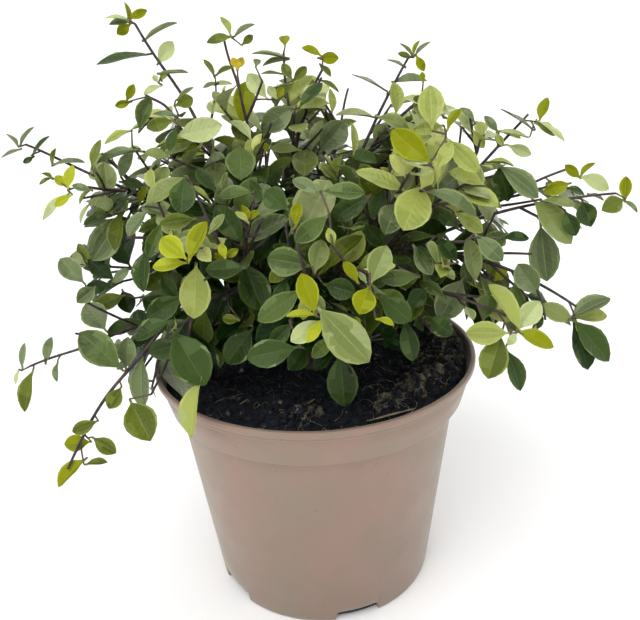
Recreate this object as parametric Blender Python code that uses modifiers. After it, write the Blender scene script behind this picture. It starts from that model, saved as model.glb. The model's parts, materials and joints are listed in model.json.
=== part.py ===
"""Pom pom pittosporum, a small evergreen shrub, in the plastic nursery pot it is sold in.

Metres, +Z up. The origin is the middle of the pot's flat underside. -Y is the front, the side
with the lowest leaves. A bearing is read round the stem in degrees: 0 is the front, 90 the
right (+X), -90 the left and 180 the back.

A short trunk stands on the potting soil. Slim boughs leave it, some fork, and each one ends
where its mass of foliage starts. A mass is a stem with forks and twigs, and leaves set round
them in a spiral, all joined into one solid that keeps to the space nearest its own stem.
"""

import math
from collections import namedtuple

import bmesh
import bpy
import numpy as np
from mathutils import Matrix, Vector
from mathutils.bvhtree import BVHTree

MM = 0.001
GAP = 0.3 * MM
UP = np.array([0.0, 0.0, 1.0])

# Pot: a 2 litre nursery pot, 17 cm across its lip
POT_HEIGHT = 132 * MM
LIP_RADIUS = 85 * MM
LIP_DEPTH = 3 * MM
LIP_WALL = 2.4 * MM
LIP_ROUND = 0.7 * MM
LIP_STEP = 0.4 * MM
COLLAR_HEIGHT = 21 * MM
COLLAR_FOOT_RADIUS = 79 * MM
COLLAR_ROUND = 0.5 * MM
COLLAR_SLOPE = 0.8 * MM
WALL_TOP_RADIUS = 74.5 * MM
BASE_RADIUS = 60.5 * MM
BASE_ROUND = 1.5 * MM
POT_WALL = 1.5 * MM
POT_FLOOR = 2 * MM
TURN_STEPS = 40

# Drain notches at the foot of the pot's wall
NOTCH_COUNT = 5
NOTCH_BEARING = 16
NOTCH_WIDTH = 25 * MM
NOTCH_HEIGHT = 5 * MM
NOTCH_DEPTH = 11 * MM
NOTCH_ROUND = 2.5 * MM
NOTCH_ROUND_SEGMENTS = 2

# Potting soil
SOIL_TOP = 122 * MM
SOIL_LUMP = 1.6 * MM
SOIL_LUMP_RANGE = (-0.7, 1.0)
SOIL_SEED = 4
SOIL_FLAT_RADIUS = 16 * MM
SOIL_RING_SHARES = (0.45, 0.70, 0.91)

# Trunk: a flat cut on the soil, a root flare, then a taper to the leading bough
TRUNK_HEIGHT = 44 * MM
TRUNK_FOOT_RADIUS = 4.6 * MM
TRUNK_TOP_RADIUS = 2.3 * MM
TRUNK_FLARE = 2.6 * MM
TRUNK_FLARE_SHARE = 0.09
TRUNK_LEAN = (-4 * MM, 3 * MM)
TRUNK_UPRIGHT_SHARE = 0.12
TRUNK_BEND_POWER = 1.5
TRUNK_SHARES = (0, 0.05, 0.12, 0.24, 0.44, 0.68, 1.0)
TRUNK_RESOLUTION = 3

# Radii of the boughs at the trunk or fork, and of the stems at their tips
BOUGH_RADIUS = 2.0 * MM
FORK_BOUGH_RADIUS = 1.5 * MM
STEM_RADIUS = 1.0 * MM
FORK_STEM_RADIUS = 0.85 * MM
STEM_TIP_RADIUS = 0.6 * MM
BOUGH_RESOLUTION = 1
BOUGH_SPACING = 12 * MM
STEM_SPACING = 15 * MM

# A limb's curve: where its control point is, how it wavers, and what its tip leaves take up
CURVE_POINTS = 41
CURVE_SPACING = 4 * MM
CONTROL_SHARE = 0.45
WAVER_SHARE = 0.011
WAVER_TURNS = (1.6, 2.6)
WAVER_RISE = 0.5
TIP_REACH = 8 * MM
LIMB_SEED = 100
FORK_SEED = 200
FORK_CREST_SHARE = 0.6
FORK_CREST_RISE = 4 * MM
TAPER_SHARE = 0.2

# How a limb is cut back to come clear of its parent and of its neighbours
STEP_FIRST = 0.5 * MM
STEP_LAST = 40 * MM
STEP_LENGTH = 0.1 * MM
PAST_RIM_SHARE = 1.2
REST_GAP = 0.24 * MM
CLEAR_SHARE = 0.25

# Side twigs: places on the stem, direction as parts forward, outward and up, and length
TWIG_RADIUS = 0.75 * MM
TWIG_SHARES = (0.22, 0.52)
TWIG_HEADING = (0.62, 0.78, 0.25)
TWIG_TRIALS = (0, 40, -40, 80, -80)
TWIG_LENGTH_SHARES = (0.20, 0.22)
TWIG_EXTRA_LENGTH = 6 * MM
TWIG_LIFT = 1.5 * MM
TWIG_POINTS = 3
TWIG_FREE_SHARE = 0.2
MASS_SEED = 500

# Leaves: longer than the plant's own 28 mm, as there are fewer of them
LEAF_LENGTH = 34 * MM
LEAF_WIDTH_SHARE = 0.62
LEAF_WIDEST_SHARE = 0.56
LEAF_THICKEST_SHARE = 0.30
LEAF_THICKNESS = 0.8 * MM
LEAF_ROOT_SHARE = 0.12
LEAF_SUNK_SHARE = 0.55
LEAF_ANGLE = 52
LEAF_ANGLE_SWING = 8
LEAF_FACING = (0.6, 0.15, 0.8)
LEAF_TRIALS = (0, 30, -30, 60, -60, 95, -95, 140)
LEAF_SHRINKS = (1.0, 0.78)
SPIRAL = 137.5
NODE_LENGTH = 16.5 * MM
FIRST_LEAF = 4 * MM
TWIG_FIRST_LEAF_SHARE = 0.35
TWIG_LEAF_SHARE = 0.85
SMALLER_FROM_SHARE = 0.45
TIP_LEAVES = 3
TIP_LEAF_SHARE = 0.5
TIP_LEAF_STEPS = (1.15, 0.1)
TIP_LEAF_INSET = 0.5 * MM
TIP_LEAF_SPACING = 0.9 * MM

# What leaves and twigs keep clear of
CLEARANCE = 0.5 * MM
POT_CLEARANCE = 2 * MM
SOIL_CLEARANCE = 3 * MM

# A limb's rule: where it leaves its parent, and where its last leaves reach to, in degrees and
# mm from the foot of the trunk. Crest is the height its curve is drawn up to, bare the share
# of its length that is bough, with foliage beyond. Where bare is 0 the mass meets the trunk.
Limb = namedtuple("Limb", "name parent start bearing reach height crest bare")
LIMBS = [
    Limb("top_mid", "trunk", 1.00, -169, 46, 166, 95, 0.34),
    Limb("tall_left", "trunk", 0.84, -97, 80, 184, 104, 0.36),
    Limb("top_right", "trunk", 0.82, 121, 68, 160, 112, 0.34),
    Limb("far_left", "trunk", 0.68, -96, 147, 126, 94, 0.36),
    Limb("right_far", "trunk", 0.74, 91, 163, 87, 88, 0.40),
    Limb("front_right_mid", "trunk", 0.62, 43, 103, 90, 84, 0.40),
    Limb("front_centre", "trunk", 0.52, 0, 112, 82, 78, 0.36),
    Limb("left_leafy", "trunk", 0.58, -54, 103, 95, 86, 0.38),
    Limb("back", "trunk", 0.62, 172, 128, 88, 86, 0.36),
    Limb("back_right", "trunk", 0.46, 133, 132, 96, 84, 0.34),
    Limb("back_left", "trunk", 0.50, -132, 130, 108, 88, 0.36),
    Limb("left_low", "trunk", 0.38, -92, 124, 62, 62, 0.38),
    Limb("low_front", "trunk", 0.30, 14, 78, 26, 42, 0.28),
    Limb("low_back", "trunk", 0.34, -172, 80, 34, 50, 0.00),
    Limb("right_mid", "right_far", 0.26, 80, 118, 64, 66, 0.28),
    Limb("right_up", "right_far", 0.36, 97, 118, 132, 96, 0.22),
    Limb("front_right_low", "front_right_mid", 0.24, 50, 117, 53, 68, 0.24),
    Limb("front_upper_right", "front_right_mid", 0.34, 36, 84, 125, 98, 0.22),
    Limb("right_low", "right_mid", 0.18, 66, 138, 46, 76, 0.24),
    Limb("front_right_rosette", "front_centre", 0.30, 14, 107, 88, 84, 0.24),
    Limb("front_left_rosette", "left_leafy", 0.22, -25, 109, 100, 88, 0.24),
    Limb("left_front_low", "left_leafy", 0.32, -41, 104, 49, 66, 0.24),
    Limb("droop_left", "left_low", 0.22, -61, 140, -22, 76, 0.26),
    Limb("low_left_far", "left_low", 0.30, -80, 153, 17, 38, 0.24),
    Limb("yellow_tip", "tall_left", 0.24, -104, 32, 159, 112, 0.22),
    Limb("top_mid_left", "back_left", 0.24, -142, 66, 175, 118, 0.22),
    Limb("back_low_left", "back_left", 0.25, -160, 122, 46, 60, 0.24),
    Limb("back_high", "back", 0.26, 160, 82, 142, 108, 0.22),
    Limb("back_low_right", "back_right", 0.26, 153, 126, 44, 62, 0.24),
]

# Forks inside a mass: the limb they leave, the share of its length, and their tips
Fork = namedtuple("Fork", "limb start bearing reach height")
FORKS = [
    Fork("top_mid", 0.52, 146, 26, 158),
    Fork("tall_left", 0.56, -112, 92, 145),
    Fork("top_right", 0.52, 92, 64, 142),
    Fork("far_left", 0.58, -80, 116, 108),
    Fork("right_far", 0.56, 96, 143, 100),
    Fork("right_up", 0.52, 111, 104, 116),
    Fork("front_left_rosette", 0.50, -16, 76, 106),
    Fork("front_centre", 0.50, -8, 86, 92),
    Fork("back_right", 0.56, 112, 122, 62),
    Fork("front_right_mid", 0.56, 54, 92, 112),
]

# Masses whose leaves are young, and a yellower green
YOUNG = ("front_left_rosette", "front_centre", "front_right_rosette", "yellow_tip")

# Materials: linear base colour and roughness
FINISHES = {
    "pot_plastic": ((0.36, 0.26, 0.21, 1), 0.5),
    "potting_soil": ((0.014, 0.011, 0.009, 1), 0.95),
    "bark": ((0.055, 0.035, 0.032, 1), 0.8),
    "leaf": ((0.12, 0.20, 0.045, 1), 0.4),
    "young_leaf": ((0.36, 0.42, 0.06, 1), 0.4),
}


def clear_scene():
    """Remove every object, so that the script can be run again."""
    for thing in list(bpy.data.objects):
        bpy.data.objects.remove(thing, do_unlink=True)


def new_collection(name):
    """A collection under the scene's own."""
    collection = bpy.data.collections.new(name)
    bpy.context.scene.collection.children.link(collection)
    return collection


def material(name, colour, roughness):
    """A Principled material in one colour."""
    made = bpy.data.materials.new(name)
    made.use_nodes = True
    shader = made.node_tree.nodes["Principled BSDF"]
    shader.inputs["Base Color"].default_value = colour
    shader.inputs["Roughness"].default_value = roughness
    shader.inputs["Metallic"].default_value = 0.0
    return made


def link_mesh(name, mesh, collection, finish=None):
    """An object that shows the mesh."""
    thing = bpy.data.objects.new(name, mesh)
    collection.objects.link(thing)
    if finish:
        mesh.materials.append(finish)
    return thing


def as_cutter(thing):
    """Keep a cutter out of the render and out of the solids."""
    thing.hide_render = True
    thing.display_type = "WIRE"
    return thing


def smooth(mesh, degrees=35):
    """Shade smooth, with the edges past this angle kept sharp."""
    mesh.shade_smooth()
    mesh.set_sharp_from_angle(angle=math.radians(degrees))


def evaluated_mesh(thing):
    """The object's mesh with its modifiers applied."""
    graph = bpy.context.evaluated_depsgraph_get()
    return bpy.data.meshes.new_from_object(thing.evaluated_get(graph))


def turned(name, outline, collection, finish):
    """A solid turned about Z from (radius, height) points that begin and end on the axis.

    The points run up the inside and down the outside, so the faces point outwards.
    """
    sheet = bmesh.new()
    corners = [sheet.verts.new((radius, 0, height)) for radius, height in outline]
    for one, two in zip(corners, corners[1:]):
        sheet.edges.new((one, two))
    mesh = bpy.data.meshes.new(name)
    sheet.to_mesh(mesh)
    sheet.free()
    thing = link_mesh(name, mesh, collection, finish)
    screw = thing.modifiers.new("Turn", "SCREW")
    screw.steps = TURN_STEPS
    screw.render_steps = TURN_STEPS
    screw.use_merge_vertices = True
    screw.merge_threshold = 0.01 * MM
    screw.use_smooth_shade = True
    return thing


def pot_radius(height):
    """Outside radius of the pot at this height."""
    collar_foot = POT_HEIGHT - COLLAR_HEIGHT
    if height > collar_foot:
        share = (height - collar_foot) / COLLAR_HEIGHT
        return COLLAR_FOOT_RADIUS + share * (LIP_RADIUS - COLLAR_FOOT_RADIUS)
    share = height / collar_foot
    return BASE_RADIUS + share * (WALL_TOP_RADIUS - BASE_RADIUS)


def pot_inner_outline():
    """(radius, height) points of the pot's inside, from the middle of its floor to its lip."""
    collar_foot = POT_HEIGHT - COLLAR_HEIGHT
    return [
        (0, POT_FLOOR),
        (pot_radius(POT_FLOOR) - POT_WALL, POT_FLOOR),
        (WALL_TOP_RADIUS - POT_WALL, collar_foot - POT_WALL),
        (COLLAR_FOOT_RADIUS - POT_WALL, collar_foot + POT_WALL),
        (LIP_RADIUS - LIP_WALL, POT_HEIGHT - LIP_DEPTH),
    ]


def make_pot(parts, cutters, finish):
    """The pot: a tapered wall, a wider collar with a lip, and drain notches at its foot."""
    collar_foot = POT_HEIGHT - COLLAR_HEIGHT
    lip_foot = POT_HEIGHT - LIP_DEPTH
    outline = pot_inner_outline() + [
        (LIP_RADIUS - LIP_WALL, POT_HEIGHT - LIP_ROUND),
        (LIP_RADIUS - LIP_WALL + LIP_ROUND, POT_HEIGHT),
        (LIP_RADIUS - LIP_ROUND, POT_HEIGHT),
        (LIP_RADIUS, POT_HEIGHT - LIP_ROUND),
        (LIP_RADIUS, lip_foot),
        (pot_radius(lip_foot) - LIP_STEP, lip_foot - LIP_STEP),
        (COLLAR_FOOT_RADIUS, collar_foot + COLLAR_ROUND),
        (COLLAR_FOOT_RADIUS - COLLAR_SLOPE, collar_foot),
        (WALL_TOP_RADIUS, collar_foot - COLLAR_SLOPE),
        (BASE_RADIUS, BASE_ROUND),
        (BASE_RADIUS - BASE_ROUND, 0),
        (0, 0),
    ]
    pot = turned("pot", outline, parts, finish)
    for number in range(NOTCH_COUNT):
        cutter = make_notch_cutter(number, cutters)
        cut = pot.modifiers.new("Notch %d" % number, "BOOLEAN")
        cut.operation = "DIFFERENCE"
        cut.solver = "EXACT"
        cut.object = cutter


def make_notch_cutter(number, cutters):
    """A block with rounded top edges, set across the corner of wall and floor."""
    sheet = bmesh.new()
    bmesh.ops.create_cube(sheet, size=1)
    size = (NOTCH_WIDTH, 2 * NOTCH_DEPTH, 2 * NOTCH_HEIGHT)
    bmesh.ops.scale(sheet, vec=size, verts=sheet.verts)
    top_sides = [edge for edge in sheet.edges
                 if all(v.co.z > 0 for v in edge.verts)
                 and abs(edge.verts[0].co.y - edge.verts[1].co.y) > NOTCH_DEPTH]
    bmesh.ops.bevel(sheet, geom=top_sides, offset=NOTCH_ROUND,
                    segments=NOTCH_ROUND_SEGMENTS, affect="EDGES", profile=0.5)
    mesh = bpy.data.meshes.new("notch_cutter_%d" % number)
    sheet.to_mesh(mesh)
    sheet.free()
    cutter = as_cutter(link_mesh("notch_cutter_%d" % number, mesh, cutters))
    bearing = math.radians(NOTCH_BEARING + number * 360 / NOTCH_COUNT)
    cutter.location = (BASE_RADIUS * math.sin(bearing), -BASE_RADIUS * math.cos(bearing), 0)
    cutter.rotation_euler = (0, 0, bearing)
    return cutter


def make_soil(parts, finish):
    """The soil that fills the pot, a little lumpy on top and level round the trunk."""
    inside = pot_inner_outline()
    floor = POT_FLOOR + GAP
    wall_top = inside[2]
    collar = inside[3]
    edge_height = SOIL_TOP - SOIL_LUMP
    edge_share = (edge_height - collar[1]) / (inside[4][1] - collar[1])
    edge_radius = collar[0] + edge_share * (inside[4][0] - collar[0]) - 2 * GAP
    outline = [(0, SOIL_TOP), (SOIL_FLAT_RADIUS, SOIL_TOP)]
    outline += [(share * edge_radius, SOIL_TOP) for share in SOIL_RING_SHARES]
    outline += [
        (edge_radius, edge_height),
        (wall_top[0] - 2 * GAP, wall_top[1] - GAP),
        (inside[1][0] - 2 * GAP, floor),
        (0, floor),
    ]
    soil = turned("soil", outline, parts, finish)
    mesh = evaluated_mesh(soil)
    soil.modifiers.clear()
    soil.data = mesh
    draw = np.random.default_rng(SOIL_SEED)
    for vertex in mesh.vertices:
        radius = math.hypot(vertex.co.x, vertex.co.y)
        if vertex.co.z > SOIL_TOP - 0.1 * SOIL_LUMP and radius > SOIL_FLAT_RADIUS + MM:
            vertex.co.z += SOIL_LUMP * draw.uniform(*SOIL_LUMP_RANGE)
    smooth(mesh)


def unit(vector):
    """The vector at length one."""
    return vector / np.linalg.norm(vector)


def across(direction):
    """Two directions at right angles to this one and to each other, the second the upper."""
    side = np.cross(direction, UP)
    if np.linalg.norm(side) < 0.2:
        side = np.cross(direction, [1.0, 0.0, 0.0])
    side = unit(side)
    return side, np.cross(side, direction)


def trunk_points():
    """The trunk's axis and radii from the cut on the soil to its top."""
    shares = np.array(TRUNK_SHARES)
    bend = np.clip((shares - TRUNK_UPRIGHT_SHARE) / (1 - TRUNK_UPRIGHT_SHARE), 0, None)
    bend = bend ** TRUNK_BEND_POWER
    points = np.stack([TRUNK_LEAN[0] * bend, TRUNK_LEAN[1] * bend,
                       SOIL_TOP + GAP + TRUNK_HEIGHT * shares], axis=1)
    radii = TRUNK_TOP_RADIUS + (TRUNK_FOOT_RADIUS - TRUNK_TOP_RADIUS) * (1 - shares)
    radii += TRUNK_FLARE * np.exp(-shares / TRUNK_FLARE_SHARE)
    return points, radii


class Path:
    """A tapering line through space, read by its share of length."""

    def __init__(self, points, radii):
        self.points = np.array(points)
        self.radii = np.array(radii)
        steps = np.linalg.norm(np.diff(self.points, axis=0), axis=1)
        self.along = np.concatenate([[0], np.cumsum(steps)])
        self.length = self.along[-1]

    def at(self, share):
        """The point at this share of the length."""
        place = share * self.length
        return np.array([np.interp(place, self.along, self.points[:, k]) for k in range(3)])

    def radius(self, share):
        """The radius at this share of the length."""
        return float(np.interp(share * self.length, self.along, self.radii))

    def direction(self, share):
        """The direction of growth at this share of the length."""
        step = 0.02
        low, high = max(0.0, share - step), min(1.0, share + step)
        return unit(self.at(high) - self.at(low))

    def part(self, start, end, spacing):
        """The stretch from one share to another, with points about this far apart."""
        count = max(2, int(round((end - start) * self.length / spacing)) + 1)
        shares = np.linspace(start, end, count)
        points = [self.at(share) for share in shares]
        return Path(points, [self.radius(share) for share in shares])


def tip_point(bearing, reach, height):
    """A tip from its bearing in degrees and its reach and height in mm."""
    turn = math.radians(bearing)
    return np.array([reach * math.sin(turn) * MM, -reach * math.cos(turn) * MM,
                     SOIL_TOP + height * MM])


def curved_path(start, tip, crest_height, seed):
    """A parabola from start towards tip, drawn up to a crest, that wavers a little sideways.

    The waver is a sine that is nil at both ends, and its phase comes from the seed. The line
    stops short of the tip by the length that the leaves at its end stand out.
    """
    t = np.linspace(0, 1, CURVE_POINTS)[:, None]
    control = start + CONTROL_SHARE * (tip - start)
    control[2] = crest_height
    points = (1 - t) ** 2 * start + 2 * t * (1 - t) * control + t ** 2 * tip
    draw = np.random.default_rng(seed)
    side, upper = across(unit(tip - start))
    turns = draw.uniform(*WAVER_TURNS)
    swing = np.sin(2 * math.pi * turns * t + draw.uniform(0, 2 * math.pi)) * np.sin(math.pi * t)
    waver = WAVER_SHARE * np.linalg.norm(tip - start)
    points = points + waver * swing * (side + WAVER_RISE * upper)
    line = Path(points, np.interp(t[:, 0], [0, 1], [FORK_STEM_RADIUS, STEM_TIP_RADIUS]))
    return line.part(0, 1 - TIP_REACH / line.length, CURVE_SPACING)


def grow_limbs():
    """Every limb's path from its parent's axis to its tip, in the order of the list."""
    paths = {"trunk": Path(*trunk_points())}
    for number, limb in enumerate(LIMBS):
        parent = paths[limb.parent]
        start = parent.at(limb.start)
        root_radius = BOUGH_RADIUS if limb.parent == "trunk" else FORK_BOUGH_RADIUS
        tip = tip_point(limb.bearing, limb.reach, limb.height)
        path = curved_path(start, tip, SOIL_TOP + limb.crest * MM,
                            LIMB_SEED + number)
        path.radii = np.interp(path.along / path.length, [0, max(limb.bare, TAPER_SHARE), 1],
                               [root_radius, STEM_RADIUS, STEM_TIP_RADIUS])
        paths[limb.name] = path
    return paths


def distance_to_path(points, path):
    """Each point's distance to the path's surface."""
    starts, ends = path.points[:-1], path.points[1:]
    spans = ends - starts
    offsets = points[:, None, :] - starts[None, :, :]
    share = np.sum(offsets * spans, axis=2) / np.sum(spans * spans, axis=1)
    share = np.clip(share, 0, 1)
    nearest = starts + share[:, :, None] * spans
    radii = path.radii[:-1] + share * np.diff(path.radii)
    distances = np.linalg.norm(points[:, None, :] - nearest, axis=2) - radii
    return distances.min(axis=1)


def rim_points(path, share):
    """Points round the cut end of a limb at this share of its length."""
    side, upper = across(path.direction(share))
    turns = np.linspace(0, 2 * math.pi, 12, endpoint=False)[:, None]
    ring = np.cos(turns) * side + np.sin(turns) * upper
    return path.at(share) + path.radius(share) * ring


def end_start(path, parent):
    """The share of a leading limb's length at which it comes clear of its parent's cut end."""
    end, forward = parent.points[-1], parent.direction(1.0)
    dip = min(np.dot(point - path.points[0], forward) for point in rim_points(path, 0.0))
    climb = np.dot(path.direction(0.0), forward)
    return ((GAP - dip) / climb - np.dot(path.points[0] - end, forward)) / path.length


def clear_start(path, end, others):
    """The share of a limb's length at which its cut end, and all beyond, is clear of others."""
    for place in np.arange(STEP_FIRST, STEP_LAST, STEP_LENGTH):
        share = place / path.length
        rim = rim_points(path, share)
        past_rim = share + PAST_RIM_SHARE * path.radius(share) / path.length
        rest = path.part(past_rim, end, CURVE_SPACING)
        if all(distance_to_path(rim, other).min() >= GAP
               and np.min(distance_to_path(rest.points, other) - rest.radii) >= REST_GAP
               for other in others):
            return share
    raise ValueError("a limb runs inside another")


def tube(name, path, resolution, collection, finish=None):
    """A tapering tube with filled ends along a path, as a curve object."""
    curve = bpy.data.curves.new(name, "CURVE")
    curve.dimensions = "3D"
    curve.bevel_depth = MM
    curve.bevel_resolution = resolution
    curve.use_fill_caps = True
    spline = curve.splines.new("POLY")
    spline.points.add(len(path.points) - 1)
    for corner, point, radius in zip(spline.points, path.points, path.radii):
        corner.co = (*point, 1)
        corner.radius = radius / MM
    thing = bpy.data.objects.new(name, curve)
    collection.objects.link(thing)
    if finish:
        curve.materials.append(finish)
    return thing


def twig_section(cutters):
    """The three-sided section of stems and twigs, a guide for their tubes."""
    curve = bpy.data.curves.new("twig_section", "CURVE")
    curve.dimensions = "2D"
    spline = curve.splines.new("POLY")
    spline.points.add(2)
    spline.use_cyclic_u = True
    for number, corner in enumerate(spline.points):
        turn = 2 * math.pi * number / 3
        corner.co = (MM * math.cos(turn), MM * math.sin(turn), 0, 1)
    guide = bpy.data.objects.new("twig_section", curve)
    cutters.objects.link(guide)
    return as_cutter(guide)


def welded_tube(name, path, section, collection):
    """A tube of this section along a path, as a closed mesh object."""
    curve_thing = tube(name + "_line", path, 0, collection)
    curve_thing.data.bevel_mode = "OBJECT"
    curve_thing.data.bevel_object = section
    mesh = evaluated_mesh(curve_thing)
    sheet = bmesh.new()
    sheet.from_mesh(mesh)
    bmesh.ops.remove_doubles(sheet, verts=sheet.verts, dist=0.001 * MM)
    bmesh.ops.recalc_face_normals(sheet, faces=sheet.faces)
    sheet.to_mesh(mesh)
    sheet.free()
    thing = link_mesh(name, mesh, collection)
    thing.matrix_world = curve_thing.matrix_world
    bpy.data.objects.remove(curve_thing, do_unlink=True)
    return thing


def make_leaf_mesh():
    """A leaf of length one along X, face up: a kite with a point above and a point below.

    It starts as a four-sided sphere of two rings. Its side corners move past the middle, and
    the points above and below towards the root.
    """
    sheet = bmesh.new()
    bmesh.ops.create_uvsphere(sheet, u_segments=4, v_segments=2, radius=0.5)
    for vertex in sheet.verts:
        along, side, height = vertex.co
        if abs(side) > 0.1:
            along = LEAF_WIDEST_SHARE - 0.5
        elif abs(height) > 0.1:
            along = LEAF_THICKEST_SHARE - 0.5
        vertex.co = (along + 0.5, side, height)
    mesh = bpy.data.meshes.new("leaf")
    sheet.to_mesh(mesh)
    sheet.free()
    return mesh


def leaf_matrix(place, direction, facing, length, sunk):
    """Turn and stretch the template to a leaf that leaves this place in this direction."""
    upward = unit(facing - np.dot(facing, direction) * direction)
    side = np.cross(upward, direction)
    root = place - sunk * direction
    matrix = np.eye(4)
    matrix[:3, 0] = direction * length
    matrix[:3, 1] = side * length * LEAF_WIDTH_SHARE
    matrix[:3, 2] = upward * LEAF_THICKNESS
    matrix[:3, 3] = root
    return matrix


class Space:
    """What a mass may fill: the space nearest its own stems, clear of limbs, soil and pot."""

    def __init__(self, stems, boughs, trunk):
        self.stems = stems
        self.limbs = list(boughs.values()) + [trunk]

    def holds(self, name, points, room=CLEARANCE):
        """Whether all these points lie in the space of the mass with this name.

        Room is what they keep clear of limbs and of the middle between two masses.
        """
        radii = np.hypot(points[:, 0], points[:, 1])
        heights = points[:, 2]
        over_soil = ((radii < LIP_RADIUS - LIP_WALL - POT_CLEARANCE)
                     & (heights > SOIL_TOP + SOIL_CLEARANCE))
        beside = radii > LIP_RADIUS + POT_CLEARANCE
        if not np.all(over_soil | beside | (heights > POT_HEIGHT + POT_CLEARANCE)):
            return False
        for limb in self.limbs:
            if distance_to_path(points, limb).min() < room:
                return False
        own = np.min([distance_to_path(points, path) for path in self.stems[name]], axis=0)
        for other, paths in self.stems.items():
            if other == name:
                continue
            for path in paths:
                if np.any(distance_to_path(points, path) < own + room):
                    return False
        return True


def make_twigs(name, stems, space, draw):
    """Side twigs by rule: up each stem, turned on by the spiral, shorter towards the tip."""
    twigs = []
    turn = draw.uniform(0, 360)
    for stem in stems:
        for share in TWIG_SHARES:
            turn += SPIRAL
            forward = stem.direction(share)
            side, upper = across(forward)
            for trial in TWIG_TRIALS:
                angle = math.radians(turn + trial)
                outward = math.cos(angle) * side + math.sin(angle) * upper
                heading = unit(TWIG_HEADING[0] * forward + TWIG_HEADING[1] * outward
                               + TWIG_HEADING[2] * UP)
                length = TWIG_LENGTH_SHARES[0] + TWIG_LENGTH_SHARES[1] * (1 - share)
                length = length * stem.length + TWIG_EXTRA_LENGTH
                along = np.linspace(0, 1, TWIG_POINTS)
                points = (stem.at(share) + length * along[:, None] * heading
                          + TWIG_LIFT * along[:, None] ** 2 * UP)
                twig = Path(points, np.linspace(TWIG_RADIUS, STEM_TIP_RADIUS, TWIG_POINTS))
                free = twig.part(TWIG_FREE_SHARE, 1, CURVE_SPACING)
                if space.holds(name, free.points, 2 * TWIG_RADIUS):
                    twigs.append(twig)
                    break
    return twigs


def leaf_stations(stems, twigs, draw):
    """Places for leaves: (path, share of its length, turn round it, size)."""
    stations = []
    for number, path in enumerate(stems + twigs):
        is_twig = number >= len(stems)
        first = TWIG_FIRST_LEAF_SHARE * path.length if is_twig else FIRST_LEAF
        count = max(1, int((path.length - first) / NODE_LENGTH))
        turn = draw.uniform(0, 360)
        for k in range(count):
            share = (first + k * NODE_LENGTH) / path.length
            beyond = max(0.0, share - SMALLER_FROM_SHARE) / (1 - SMALLER_FROM_SHARE)
            size = 1.0 - (1 - TIP_LEAF_SHARE) * beyond
            stations.append((path, share, turn, size * (TWIG_LEAF_SHARE if is_twig else 1.0)))
            turn += SPIRAL
        for k in range(TIP_LEAVES - is_twig):
            share = 1 - (k * TIP_LEAF_SPACING + TIP_LEAF_INSET) / path.length
            size = TIP_LEAF_SHARE * (TIP_LEAF_STEPS[0] - TIP_LEAF_STEPS[1] * k)
            stations.append((path, share, turn, size))
            turn += SPIRAL
    return stations


def solid_tree(thing):
    """The object's faces in world space, in a tree that finds where solids meet."""
    verts = [thing.matrix_world @ vertex.co for vertex in thing.data.vertices]
    return BVHTree.FromPolygons(verts, [tuple(face.vertices) for face in thing.data.polygons])


def place_leaves(name, stations, trees, space, leaf_mesh, draw):
    """The leaves that fit: each station tries turns round its stem and two sizes.

    Trees holds the solids that a leaf's blade must not cut, and each leaf placed joins them.
    """
    points = np.array([vertex.co[:] for vertex in leaf_mesh.vertices])
    faces = [tuple(face.vertices) for face in leaf_mesh.polygons]
    placed = []
    trees = list(trees)
    blade = points.copy()
    blade[np.argmin(points[:, 0]), 0] = LEAF_ROOT_SHARE
    probes = np.concatenate([blade, 0.5 * (blade[:, None] + blade[None, :]).reshape(-1, 3)])
    for path, share, turn, size in stations:
        forward = path.direction(share)
        side, upper = across(forward)
        place = path.at(share)
        sunk = LEAF_SUNK_SHARE * path.radius(share)
        swing = draw.uniform(-LEAF_ANGLE_SWING, LEAF_ANGLE_SWING)
        facing = LEAF_FACING[0] * forward + LEAF_FACING[1] * side + LEAF_FACING[2] * UP
        found = None
        for shrink in LEAF_SHRINKS:
            for trial in LEAF_TRIALS:
                angle = math.radians(turn + trial)
                outward = math.cos(angle) * side + math.sin(angle) * upper
                lean = math.radians(LEAF_ANGLE + swing)
                heading = unit(math.cos(lean) * forward + math.sin(lean) * outward)
                matrix = leaf_matrix(place, heading, facing, size * shrink * LEAF_LENGTH, sunk)
                spots = probes @ matrix[:3, :3].T + matrix[:3, 3]
                if not space.holds(name, spots):
                    continue
                shape = blade @ matrix[:3, :3].T + matrix[:3, 3]
                tree = BVHTree.FromPolygons([Vector(p) for p in shape], faces)
                if any(tree.overlap(other) for other in trees):
                    continue
                found = (matrix, tree)
                break
            if found:
                break
        if found:
            placed.append(found[0])
            trees.append(found[1])
    return placed


def keep_largest(mesh):
    """Drop loose scraps: only the largest connected piece of the mesh stays."""
    sheet = bmesh.new()
    sheet.from_mesh(mesh)
    waiting = set(sheet.verts)
    groups = []
    while waiting:
        group = set()
        front = [waiting.pop()]
        while front:
            vertex = front.pop()
            group.add(vertex)
            for edge in vertex.link_edges:
                other = edge.other_vert(vertex)
                if other in waiting:
                    waiting.remove(other)
                    front.append(other)
        groups.append(group)
    groups.sort(key=len)
    for group in groups[:-1]:
        bmesh.ops.delete(sheet, geom=list(group), context="VERTS")
    sheet.to_mesh(mesh)
    sheet.free()


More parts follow.
